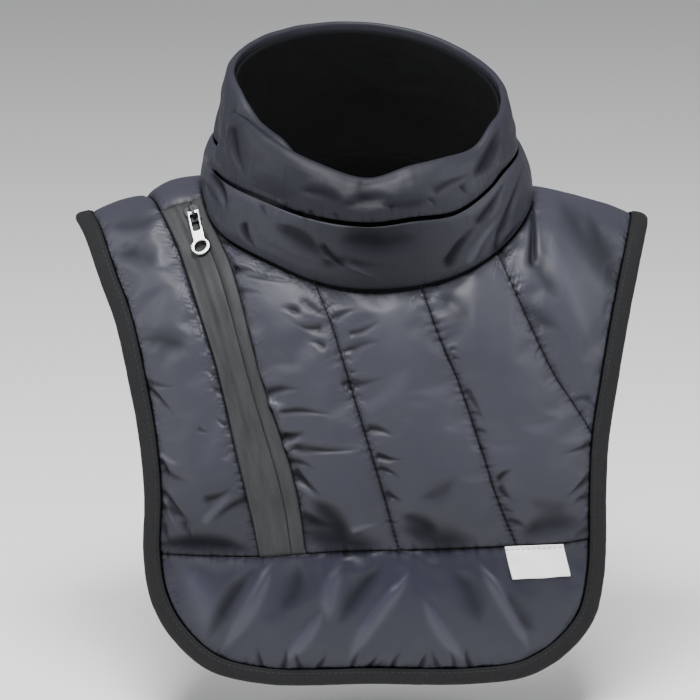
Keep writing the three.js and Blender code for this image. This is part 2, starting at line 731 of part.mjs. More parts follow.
const SEAM_LEVEL = 0.006;
const lowerBand = () => collarGrid(
  { levels: [0, 1 - SEAM_LEVEL], endTop: FLAP.lowerTop, endBottom: FLAP.lowerBottom },
  collarFaces,
);
const upperBand = () => collarGrid(
  { levels: [1 + SEAM_LEVEL, 2], endTop: FLAP.upperTop, endBottom: FLAP.upperBottom },
  collarFaces,
);

function collarLining() {
  const { gap, thickness, end } = LINING;
  return collarGrid({ levels: [0, 2], endTop: end, endBottom: end }, (angle, level) => {
    const { inner, radial } = collarFaces(angle, level);
    return {
      inner: inner.clone().addScaledVector(radial, -gap - thickness),
      outer: inner.clone().addScaledVector(radial, -gap),
    };
  });
}

function label() {
  const turn = LABEL.turn * RAD;
  const start = flat(LABEL.x, hem(LABEL.x) - 0.5);
  const faces = [];
  const cells = [];
  const columns = 4;
  const rows = 3;
  for (let i = 0; i <= columns; i += 1) {
    for (let j = 0; j <= rows; j += 1) {
      const across = (LABEL.width * i) / columns;
      const down = (LABEL.height * j) / rows;
      const x = start.x + across * Math.cos(turn) - down * Math.sin(turn);
      const s = start.y + across * Math.sin(turn) + down * Math.cos(turn);
      const u = (x - corner.hemLeft.x) / (corner.hemRight.x - corner.hemLeft.x);
      const v = clamp01((s - hem(x)) / LABEL_PANEL_DEPTH);
      const fullness = Math.sqrt(Math.sin(Math.PI * u) * Math.sin(Math.PI * v));
      const lift = SEAM_THICKNESS + PANEL_PUFF * fullness + LABEL.under;
      const inner = formPoint(x, s, lift);
      faces.push({ inner, outer: formPoint(x, s, lift + LABEL.thickness) });
    }
  }
  const at = (i, j) => i * (rows + 1) + j;
  for (let i = 0; i < columns; i += 1) {
    for (let j = 0; j < rows; j += 1) cells.push([at(i, j), at(i, j + 1), at(i + 1, j + 1), at(i + 1, j)]);
  }
  return wallSolid(faces, cells);
}

// Zip hardware in its own frame: +Y up the zip, +Z away from the tapes
function outlined(points) {
  return new THREE.Shape(points.map(([x, y]) => flat(x, y)));
}

function slab(shape, thickness, base) {
  const geometry = new THREE.ExtrudeGeometry(shape, { depth: thickness, bevelEnabled: false });
  return geometry.translate(0, 0, base);
}

function sliderPlate() {
  const { length, width, tail } = SLIDER;
  const top = length / 2;
  return outlined([
    [-tail / 2 + 1, -top], [tail / 2 - 1, -top], [tail / 2, -top + 1], [width / 2, 1],
    [width / 2, top - 2], [width / 2 - 2, top], [-width / 2 + 2, top], [-width / 2, top - 2],
    [-width / 2, 1], [-tail / 2, -top + 1],
  ]);
}

const TAPE_DEPTH = TAPE_THICKNESS + SLIDER.over + SLIDER.below;

function slider() {
  const { width, reach, leg, height, bar } = BRIDGE;
  const arch = outlined([
    [-reach, -0.4], [-reach, height - 1.2], [-reach + 1.2, height], [reach - 1.2, height],
    [reach, height - 1.2], [reach, -0.4], [reach - leg, -0.4], [reach - leg, height - bar],
    [-reach + leg, height - bar], [-reach + leg, -0.4],
  ]);
  const bridge = slab(arch, width, -width / 2);
  bridge.applyMatrix4(new THREE.Matrix4().makeBasis(
    new THREE.Vector3(0, 1, 0), new THREE.Vector3(0, 0, 1), new THREE.Vector3(1, 0, 0),
  ));
  bridge.translate(0, 0, SLIDER.plate);
  const post = new THREE.BoxGeometry(POST.width, POST.length, TAPE_DEPTH + 1);
  post.translate(0, POST.at, -TAPE_DEPTH / 2);
  return joined(
    slab(sliderPlate(), SLIDER.plate, 0),
    slab(sliderPlate(), SLIDER.plate - 0.4, -TAPE_DEPTH - SLIDER.plate + 0.4),
    post,
    bridge,
  );
}

function pull() {
  const { arm, slot, slotEnd, ringAt, ring, thickness } = PULL;
  const neck = arm - 0.4;
  const shape = new THREE.Shape();
  const join = Math.asin(neck / ring);
  shape.moveTo(-arm, 0.6);
  shape.lineTo(-neck, -slotEnd + 1);
  shape.lineTo(-neck, -ringAt + ring * Math.cos(join));
  shape.absarc(0, -ringAt, ring, Math.PI / 2 + join, Math.PI / 2 - join + 2 * Math.PI, false);
  shape.lineTo(neck, -slotEnd + 1);
  shape.lineTo(arm, 0.6);
  shape.lineTo(arm - 0.8, 1.3);
  shape.lineTo(-arm + 0.8, 1.3);
  const window = new THREE.Path();
  window.moveTo(-slot, -1.1);
  window.lineTo(slot, -1.1);
  window.lineTo(slot - 0.3, -slotEnd);
  window.lineTo(-slot + 0.3, -slotEnd);
  const eye = new THREE.Path();
  eye.absellipse(0, -ringAt, PULL_EYE.along, PULL_EYE.across, 0, 2 * Math.PI, false, PULL_EYE.turn * RAD);
  shape.holes.push(window, eye);
  const options = { depth: thickness, bevelEnabled: false, curveSegments: 10 };
  return new THREE.ExtrudeGeometry(shape, options).translate(0, 0, -thickness / 2);
}

// Place of the slider on the zip's meeting line
function zipHardware() {
  const meeting = (s) => flat(zipLeft(s), s).lerp(flat(zipRight(s), s), ZIP_CENTRE);
  const here = meeting(SLIDER.s);
  const above = meeting(SLIDER.s - 4);
  const below = meeting(SLIDER.s + 4);
  const up = formPoint(above.x, above.y, 0).sub(formPoint(below.x, below.y, 0)).normalize();
  const out = bodyNormal(here.x, here.y);
  const across = up.clone().cross(out).normalize();
  const group = new THREE.Group();
  const lift = TAPE_LIFT + TAPE_THICKNESS + SLIDER.over;
  group.matrixAutoUpdate = false;
  group.matrix.makeBasis(across, up, out.clone().normalize());
  group.matrix.setPosition(formPoint(here.x, here.y, lift));
  addPiece('zip_slider', slider(), DARK_METAL, group);
  const handle = addPiece('zip_pull', pull(), NICKEL, group);
  handle.position.set(0, PIVOT.along, SLIDER.plate + PIVOT.height);
  handle.rotation.set(PULL_REST * RAD, 0, -PULL_YAW * RAD, 'ZYX');
  return group;
}

// Tape with the slider's post let through it
function cutTape(geometry, hardware) {
  const room = new THREE.BoxGeometry(POST.width + 2 * GAP, POST.length + 2 * GAP, 12);
  room.translate(0, POST.at, 0);
  room.applyMatrix4(hardware.matrix);
  return fromSolid(toSolid(geometry).subtract(toSolid(room)));
}

const hardware = zipHardware();

addPiece('chest_panel', chestPanel(), SHELL);
addPiece('side_panel', sidePanel(), SHELL);
addPiece('shoulder_patch', shoulderPatch(), SHELL);
addPiece('hem_panel', hemPanel(), HEM_SHELL);
addPiece('back_panel', backPanel(), SHELL);
addPiece('zip_tape_side', cutTape(zipTape(0, ZIP_CENTRE), hardware), TAPE);
addPiece('zip_tape_chest', cutTape(zipTape(ZIP_CENTRE, 1), hardware), TAPE);
addPiece('collar_lower_band', lowerBand(), SHELL);
addPiece('collar_upper_band', upperBand(), SHELL);
addPiece('collar_lining', collarLining(), FLEECE);
addPiece('edge_binding_hem', edgeBinding(
  [0, 3, 5],
  [3, K.hemRight - 3, CELLS.hem],
  [K.hemRight - 3, K.hemRight, 5],
), RIBBON);
addPiece('edge_binding_right', edgeBinding(
  [K.hemRight, K.quilt3, CELLS.rightSide],
  [K.quilt3, K.seamRight, CELLS.quilt3],
), RIBBON);
addPiece('edge_binding_back', edgeBinding(
  [K.seamRight, K.seamRight + 4, 9],
  [K.seamRight + 4, K.seamLeft - 4, 10 + CELLS.back],
  [K.seamLeft - 4, K.seamLeft, 9],
), RIBBON);
addPiece('edge_binding_left', edgeBinding([K.seamLeft, K.hemLeft, CELLS.side]), RIBBON);
addPiece('label', label(), WHITE);
garment.add(hardware);

export default garment;
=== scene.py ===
"""Padded neck warmer: quilted nylon bib, oblique zip, rolled stand-up collar, bound edges."""

import math

import bmesh
import bpy
from mathutils import Matrix, Vector, noise
from mathutils.bvhtree import BVHTree
from mathutils.kdtree import KDTree


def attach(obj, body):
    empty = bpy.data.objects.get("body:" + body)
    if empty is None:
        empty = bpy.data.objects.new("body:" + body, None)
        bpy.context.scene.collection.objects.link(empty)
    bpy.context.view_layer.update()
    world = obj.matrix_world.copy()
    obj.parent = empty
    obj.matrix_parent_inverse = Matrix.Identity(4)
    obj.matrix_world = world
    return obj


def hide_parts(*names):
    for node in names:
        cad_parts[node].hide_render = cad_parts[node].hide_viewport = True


bl_info = {
    "name": "Neck warmer",
    "version": (1, 0, 0),
    "blender": (4, 5, 0),
    "location": "View3D > Sidebar > Neck warmer",
    "description": "Builds a padded neck warmer over its measured frame",
    "category": "Object",
}

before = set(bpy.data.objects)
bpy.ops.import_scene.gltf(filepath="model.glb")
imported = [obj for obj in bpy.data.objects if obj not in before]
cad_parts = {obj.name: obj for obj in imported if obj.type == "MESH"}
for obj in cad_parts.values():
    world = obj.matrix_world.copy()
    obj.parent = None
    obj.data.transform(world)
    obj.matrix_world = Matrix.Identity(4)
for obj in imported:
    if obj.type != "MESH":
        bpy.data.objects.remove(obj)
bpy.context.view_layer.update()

MM = 0.001
RAD = math.pi / 180
GARMENT = "garment"
PULL = "pull"

# Body form under the cloth, in millimetres: shoulder line, arch over each side, straight fall
SHOULDER = {"top": 38, "slope": 0.31, "soft": 60}
SHOULDER_RISE = {"left": 5.5, "left_from": 40, "right": 3.5, "right_from": 110, "width": 60, "fade": 75}
ARCH_LENGTH = 135
FRONT = {"depth": 100, "radius": 300, "drop": 92}
BACK = {"depth": 108, "radius": 260, "drop": 55}
CHEST_BULGE = {"out": 22, "from": 50, "to": 190}
NAPE = {"rise": 12, "width": 60, "at": 72, "reach": 40}
ZIP_FOLD = (
    {"x": -117, "s": 22, "reach": 18, "height": 5},
    {"x": -101, "s": 60, "reach": 20, "height": -6},
)
FOLD_LEAN = {"out": 0.97, "up": 0.24}
FOLD_START = 12

# Pattern of the bib in millimetres: x across, s down from the shoulder line
NECK = {"x": 1, "s": 13.5, "half_width": 99, "half_length": 87.5, "dent": 7, "at": 40, "width": 22}
NECK_AXIS = (1, -18)
SEAM_ANGLE = 120
ZIP_ANGLE = 71
ZIP_TOP_ANGLE = 84
QUILT_ANGLES = (18, -18.8, -51.2)
OUTLINE = (
    (-132, 232), (-128, 262), (-115, 289), (-92, 313), (-60, 326), (-28, 331), (4, 331.5),
    (34, 330), (66, 325), (97, 315.5), (121, 297), (137, 273.5), (142.5, 248), (143.7, 224),
    (143.5, 194), (145.2, 163), (150.5, 130), (156.5, 98), (163, 66), (169, 34), (172.5, 2),
    (171, -30), (163, -75), (151, -120), (137, -162), (110, -194), (62, -206), (0, -208),
    (-62, -206), (-110, -194), (-137, -162), (-152, -120), (-166, -75), (-175, -30), (-176, 2),
    (-169, 33), (-159, 68), (-148.5, 98), (-140, 133), (-134, 166), (-131, 200),
)
HEM_LEFT = len(OUTLINE) + 0.11
HEM_RIGHT = 13
QUILT_END = 15
SEAM_RIGHT = 21
SEAM_LEFT = 33
ZIP_LEFT = ((-30, -136), (0, -130), (25, -123), (64, -110), (100, -98), (134, -87), (182, -76),
            (225, -66), (250, -61.5))
ZIP_RIGHT = ((30, -98), (43, -92.7), (77, -79.5), (123, -66.5), (154, -57.4), (192, -45),
             (216, -39.2), (252, -34.5))
QUILT_1 = ((90, -31.5), (124, -17.6), (170, -3.1), (217, 11.4), (252, 21))
QUILT_2 = ((90, 31), (121, 43.4), (144, 54.5), (184, 69.2), (208, 77.5), (240, 92))
QUILT_3 = ((68.4, 78.1), (98.6, 92.5), (127, 108), (152, 126.7), (163, 134.2))
HEM = ((-63, 246), (-36, 248.2), (-5, 248.8), (20, 247.6), (44, 244.3), (82, 236.5), (114, 229.5))
ZIP_TOP = 25.4
ZIP_CENTRE = 0.7
EDGE_MARGIN = 11
PANEL_EDGE = 10.2

# Collar's inner face: angle round the neck, seam radius and height, rim radius and height
COLLAR = (
    (28, 78.5, 19, 69.5, 45), (60, 79.5, 30, 71, 59), (78, 84.5, 37, 75, 74),
    (96, 90, 42, 79, 84), (130, 87, 51, 77, 96), (170, 87, 56, 77, 100),
    (205, 87, 54, 79, 94), (240, 88, 45, 81, 79), (272, 88, 36, 79, 64),
    (294, 87, 30, 78, 56), (308, 86.5, 20.5, 77, 45), (325, 86.5, 11, 76, 42),
    (342, 86.5, 10, 76, 39), (360, 86, 7.5, 76, 32.5), (382, 86.5, 11, 77, 41),
    (404, 88, 18.5, 78.5, 52), (422, 90, 23, 80, 60.5), (440, 92, 27, 81, 62),
    (456, 97.5, 31, 87, 61),
)
COLLAR_START = 28
FLAP = {"upper_top": 433, "upper_bottom": 445, "lower_top": 447, "lower_bottom": 435}
UNDERLAP_DROP = {"depth": 7, "from": 28, "to": 46}
UNDERLAP = {"inset": 9, "from": 66, "to": 78}
FREE = {"from": 58, "to": 96, "until": 363, "end": 393}
LINING_END = 379

SEAM_LIFT = 1.3
SLIDER_S = 36


def clamp01(value):
    return min(max(value, 0.0), 1.0)


def smooth(start, end, value):
    t = clamp01((value - start) / (end - start))
    return t * t * (3 - 2 * t)


def through(rows):
    """Smooth value through rows of (position, value)."""
    slope = []
    for i in range(len(rows)):
        before = rows[max(i - 1, 0)]
        after = rows[min(i + 1, len(rows) - 1)]
        slope.append((after[1] - before[1]) / (after[0] - before[0]))

    def at(position):
        i = 0
        while i < len(rows) - 2 and position > rows[i + 1][0]:
            i += 1
        width = rows[i + 1][0] - rows[i][0]
        t = (position - rows[i][0]) / width
        lean = t * (1 - t) * (1 - t) * slope[i] - t * t * (1 - t) * slope[i + 1]
        return rows[i][1] + (rows[i + 1][1] - rows[i][1]) * t * t * (3 - 2 * t) + lean * width

    return at


def body_point(x, s):
    """Point of the bare form under the pattern point, in millimetres."""
    side = FRONT if s >= 0 else BACK
    reach = side["depth"] - x * x / (2 * side["radius"])
    along = abs(s)
    turn = min(along, ARCH_LENGTH) / ARCH_LENGTH * math.pi / 2
    out = reach * math.sin(turn)
    fall = side["drop"] * (1 - math.cos(turn)) + max(along - ARCH_LENGTH, 0)
    height = SHOULDER["top"] - SHOULDER["slope"] * math.hypot(x, SHOULDER["soft"]) - fall
    rise = SHOULDER_RISE
    lift = rise["left"] * smooth(rise["left_from"], rise["left_from"] + rise["width"], -x)
    lift += rise["right"] * smooth(rise["right_from"], rise["right_from"] + rise["width"], x)
    height += lift * (1 - smooth(0, rise["fade"], along))
    if s >= 0:
        out += CHEST_BULGE["out"] * smooth(CHEST_BULGE["from"], CHEST_BULGE["to"], fall)
        for fold in ZIP_FOLD:
            away = ((x - fold["x"]) ** 2 + (s - fold["s"]) ** 2) / fold["reach"] ** 2
            swell = fold["height"] * smooth(0, FOLD_START, s) * math.exp(-away)
            out += FOLD_LEAN["out"] * swell
            height += FOLD_LEAN["up"] * swell
        return Vector((x, -out, height))
    spot = (along - NAPE["at"]) / NAPE["reach"]
    height += NAPE["rise"] * math.exp(-((x / NAPE["width"]) ** 2) - spot * spot)
    return Vector((x, out, height))


def body_normal(x, s):
    step = 0.5
    across = body_point(x + step, s) - body_point(x - step, s)
    down = body_point(x, s + step) - body_point(x, s - step)
    return down.cross(across).normalized()


def form_point(x, s, lift):
    """Place of a pattern point at a height over the form, in metres."""
    return (body_point(x, s) + body_normal(x, s) * lift) * MM


zip_left, zip_right, quilt_1, quilt_2, quilt_3 = (
    through(line) for line in (ZIP_LEFT, ZIP_RIGHT, QUILT_1, QUILT_2, QUILT_3))
wrapped = [(i, OUTLINE[i % len(OUTLINE)]) for i in range(-2, len(OUTLINE) + 3)]
outline_x = through([(i, point[0]) for i, point in wrapped])
outline_s = through([(i, point[1]) for i, point in wrapped])


def edge_point(place, inset=EDGE_MARGIN):
    """Point of the bib's outline, moved inwards."""
    step = 0.02
    ahead = Vector((outline_x(place + step), outline_s(place + step)))
    behind = Vector((outline_x(place - step), outline_s(place - step)))
    along = (ahead - behind).normalized()
    return Vector((outline_x(place) + along.y * inset, outline_s(place) - along.x * inset))


def neck_point(angle, inset=0):
    """Point of the neck hole's edge on the pattern."""
    turn = angle * RAD
    lean = ((angle + 180) % 360 - 180 - NECK["at"]) / NECK["width"]
    dent = NECK["dent"] * math.exp(-lean * lean)
    x = NECK["x"] - (NECK["half_width"] - inset) * math.sin(turn)
    return Vector((x, NECK["s"] + (NECK["half_length"] - inset - dent) * math.cos(turn)))


hem = through([tuple(edge_point(HEM_LEFT)), *HEM, tuple(edge_point(HEM_RIGHT))])
HEM_GUESS = 245
HEM_TRIES = 20


def meet_hem(curve):
    """Point where a line down the pattern meets the hem seam."""
    s = HEM_GUESS
    for _ in range(HEM_TRIES):
        s = hem(curve(s))
    return Vector((curve(s), s))


def edge_run(start, end, inset=PANEL_EDGE):
    return lambda t: edge_point(start + (end - start) * t, inset)


def neck_run(start, end):
    return lambda t: neck_point(start + (end - start) * t)


def straight(start, end):
    return lambda t: start.lerp(end, t)


def line_run(curve, start, end):
    """A line given as x at s, between two points that it joins exactly."""
    def at(t):
        s = start.y + (end.y - start.y) * t
        ends = (start.x - curve(start.y)) * (1 - t) + (end.x - curve(end.y)) * t
        return Vector((curve(s) + ends, s))
    return at


def hem_run(start, end):
    """The hem seam between two points that it joins exactly."""
    def at(t):
        x = start.x + (end.x - start.x) * t
        ends = (start.y - hem(start.x)) * (1 - t) + (end.y - hem(end.x)) * t
        return Vector((x, hem(x) + ends))
    return at


def chain(first, second, share):
    return lambda t: first(t / share) if t <= share else second((t - share) / (1 - share))


EDGE_CORNERS = {
    "hem_left": HEM_LEFT, "hem_right": HEM_RIGHT, "seam_left": SEAM_LEFT, "seam_right": SEAM_RIGHT,
    "quilt_3_end": QUILT_END,
}
HEM_CORNERS = {
    "zip_left_hem": zip_left, "zip_right_hem": zip_right, "quilt_1_hem": quilt_1,
    "quilt_2_hem": quilt_2,
}
NECK_CORNERS = {
    "zip_right_top": ZIP_ANGLE, "tape_top": ZIP_TOP_ANGLE, "neck_left": SEAM_ANGLE,
    "neck_right": -SEAM_ANGLE, "neck_1": QUILT_ANGLES[0], "neck_2": QUILT_ANGLES[1],
    "neck_3": QUILT_ANGLES[2],
}
CORNER = {name: edge_point(place, PANEL_EDGE) for name, place in EDGE_CORNERS.items()}
CORNER |= {name: meet_hem(curve) for name, curve in HEM_CORNERS.items()}
CORNER |= {name: neck_point(angle) for name, angle in NECK_CORNERS.items()}
CORNER["zip_left_top"] = Vector((zip_left(ZIP_TOP), ZIP_TOP))
seam_width = CORNER["neck_left"].x - CORNER["seam_left"].x
zip_share = (zip_left(OUTLINE[SEAM_LEFT][1]) - CORNER["seam_left"].x) / seam_width
CORNER["zip_seam"] = CORNER["seam_left"].lerp(CORNER["neck_left"], zip_share)


# Collar
mid_radius, mid_height, rim_radius, rim_height = (
    through([(row[0], row[k]) for row in COLLAR]) for k in range(1, 5))
COLLAR_GAP = 0.15
COLLAR_BASE = 0.6
COLLAR_AROUND = 87


def radial_way(angle):
    return Vector((-math.sin(angle * RAD), -math.cos(angle * RAD), 0))


def around_neck(angle, radius, height):
    return Vector((*NECK_AXIS, height)) + radial_way(angle) * radius


def freedom(angle):
    """0 where the collar's two ends lie pressed together, 1 where it is free."""
    return smooth(FREE["from"], FREE["to"], angle) * (1 - smooth(FREE["until"], FREE["end"], angle))


def collar_frame(angle, level):
    """Inner face of the collar in millimetres, the ways through its wall and out, and its height.

    Level 0 is the neck seam, 1 the seam between the rolls and 2 the rim.
    """
    radial = radial_way(angle)
    mid = around_neck(angle, mid_radius(angle), mid_height(angle))
    if level <= 1:
        hidden = 1 - smooth(UNDERLAP["from"], UNDERLAP["to"], angle)
        inset = UNDERLAP["inset"] * hidden + COLLAR_GAP
        base = neck_point(angle, inset)
        wall = body_normal(base.x, base.y)
        start, end, t = body_point(base.x, base.y) + wall * COLLAR_BASE, mid, level
    else:
        wall = radial
        start, end, t = mid, around_neck(angle, rim_radius(angle), rim_height(angle)), level - 1
    wall = wall.lerp(radial, t).normalized()
    slant = end - start
    swell = slant.cross(radial.cross(Vector((0, 0, 1)))).normalized()
    if swell.dot(radial) < 0:
        swell.negate()
    return start.lerp(end, t), wall, swell, slant.length


# Camera of the photograph
VIEW_TARGET = Vector((-9, -60, -80)) * MM
VIEW_ELEVATION = 14 * RAD
VIEW_DISTANCE = 2.2
VIEW_SCALE = 0.6 * MM
PHOTO_SIZE = 700
SENSOR_WIDTH = 36
VIEW_DIRECTION = Vector((0, math.cos(VIEW_ELEVATION), -math.sin(VIEW_ELEVATION)))
VIEW_UP = Vector((0, math.sin(VIEW_ELEVATION), math.cos(VIEW_ELEVATION)))
VIEW_PLACE = VIEW_TARGET - VIEW_DIRECTION * VIEW_DISTANCE


def photo_pixel(point):
    """Where a point shows in the photograph's frame."""
    ray = point - VIEW_PLACE
    depth = ray.dot(VIEW_DIRECTION)
    scale = VIEW_DISTANCE / VIEW_SCALE / depth
    return PHOTO_SIZE / 2 + ray.x * scale, PHOTO_SIZE / 2 - ray.dot(VIEW_UP) * scale


# Cloth on the pattern
CLOTH_LAYERS = ("across", "down", "fullness", "reach", "seam_distance", "seam_along", "crease_and_painted_shade")
TIGHTEN = 0.09
WELD = 0.05
SEAM_FULLNESS = 1e-3
SEAM_LEAN = 0.7
# Small bumps in the cloth, and how soon beside a seam it is as free as in its middle
UNEVEN = {"height": 0.7, "pitch": 14, "rise": 3}
PANEL_REACH = 3.5
FABRIC = {
    "quality": 5, "mass": 0.15, "tension_stiffness": 14, "compression_stiffness": 14,
    "shear_stiffness": 5, "tension_damping": 5, "compression_damping": 5, "shear_damping": 5,
    "bending_damping": 1, "air_damping": 3, "use_pressure": True, "pin_stiffness": 1,
}


def cloth_mesh():
    """An empty mesh with the layers that hold each point's place on the pattern."""
    bm = bmesh.new()
    for name in CLOTH_LAYERS:
        bm.verts.layers.float.new(name)
    return bm


def tighten(t):
    """Moves grid lines towards both ends, where the cloth bends most."""
    return t - TIGHTEN * math.sin(2 * math.pi * t)


def lay_field(bm, top, bottom, left, right, columns, rows, tight="across"):
    """Fits one quilted field, a grid, between four edges of the pattern."""
    layer = bm.verts.layers.float
    across, down, fullness = layer["across"], layer["down"], layer["fullness"]
    grid = bmesh.ops.create_grid(bm, x_segments=columns, y_segments=rows, size=0.5)
    corners = top(0), top(1), bottom(0), bottom(1)
    lines = {}

    def on(name, run, t):
        key = name, round(t, 5)
        if key not in lines:
            lines[key] = run(t)
        return lines[key]

    for vert in grid["verts"]:
        u = vert.co.x + 0.5
        v = 0.5 - vert.co.y
        if tight == "across":
            u = tighten(u)
        elif tight == "down":
            v = tighten(v)
        point = on("top", top, u) * (1 - v) + on("bottom", bottom, u) * v
        point = point + on("left", left, v) * (1 - u) + on("right", right, v) * u
        point -= (corners[0] * (1 - u) + corners[1] * u) * (1 - v)
        point -= (corners[2] * (1 - u) + corners[3] * u) * v
        vert.co = Vector((point.x, point.y, 0))
        vert[across], vert[down] = point
        vert[fullness] = math.sqrt(max(math.sin(math.pi * u) * math.sin(math.pi * v), 0))


def weld(bm):
    """Joins the fields along their shared lines and turns every face outwards."""
    bmesh.ops.remove_doubles(bm, verts=bm.verts, dist=WELD)
    bm.normal_update()
    bmesh.ops.reverse_faces(bm, faces=[face for face in bm.faces if face.normal.z > 0])


def measure_seams(bm, unit, along):
    """Stores how far each point lies from its nearest seam, and where along it, in metres."""
    layer = bm.verts.layers.float
    seams = [vert for vert in bm.verts if vert[layer["fullness"]] < SEAM_FULLNESS]
    tree = KDTree(len(seams))
    for i, vert in enumerate(seams):
        tree.insert(vert.co, i)
    tree.balance()
    for vert in bm.verts:
        near, _, distance = tree.find(vert.co)
        vert[layer["seam_distance"]] = distance * unit
        vert[layer["seam_along"]] = along(vert, near)


def raise_cloth(bm, puff, seed):
    """Lifts the flat pattern onto the form, puffed and lightly uneven."""
    layer = bm.verts.layers.float
    for vert in bm.verts:
        x, s, full = (vert[layer[key]] for key in ("across", "down", "fullness"))
        uneven = noise.noise(Vector((x / UNEVEN["pitch"] + seed, s / UNEVEN["pitch"], seed)))
        free = min(full * UNEVEN["rise"], 1)
        vert[layer["reach"]] = PANEL_REACH * MM * free
        vert.co = form_point(x, s, SEAM_LIFT + puff * full + UNEVEN["height"] * uneven * free)


def simulate(piece, settings):
    """Fills the cloth and lets it wrinkle between its held seams, then keeps the result."""
    mesh = piece.data
    fullness = mesh.attributes["fullness"].data
    held = piece.vertex_groups.new(name="seams")
    held.add([i for i, item in enumerate(fullness) if item.value < SEAM_FULLNESS], 1, "REPLACE")
    cloth = piece.modifiers.new("padding", "CLOTH")
    fabric = cloth.settings
    for key, value in FABRIC.items():
        setattr(fabric, key, value)
    fabric.bending_stiffness = settings.bending
    fabric.uniform_pressure_force = settings.pressure
    fabric.shrink_min = -settings.slack
    fabric.vertex_group_mass = held.name
    fabric.effector_weights.gravity = 0
    cloth.collision_settings.use_collision = False
    cloth.point_cache.frame_start = 1
    cloth.point_cache.frame_end = settings.frames
    scene = bpy.context.scene
    for number in range(1, settings.frames + 1):
        scene.frame_set(number)
    graph = bpy.context.evaluated_depsgraph_get()
    filled = piece.evaluated_get(graph).data
    reach = mesh.attributes["reach"].data
    for vert, moved, most in zip(mesh.vertices, filled.vertices, reach):
        move = moved.co - vert.co
        if move.length > most.value:
            move *= most.value / move.length
        vert.co += move
    piece.modifiers.clear()
    piece.vertex_groups.clear()
    scene.frame_set(1)
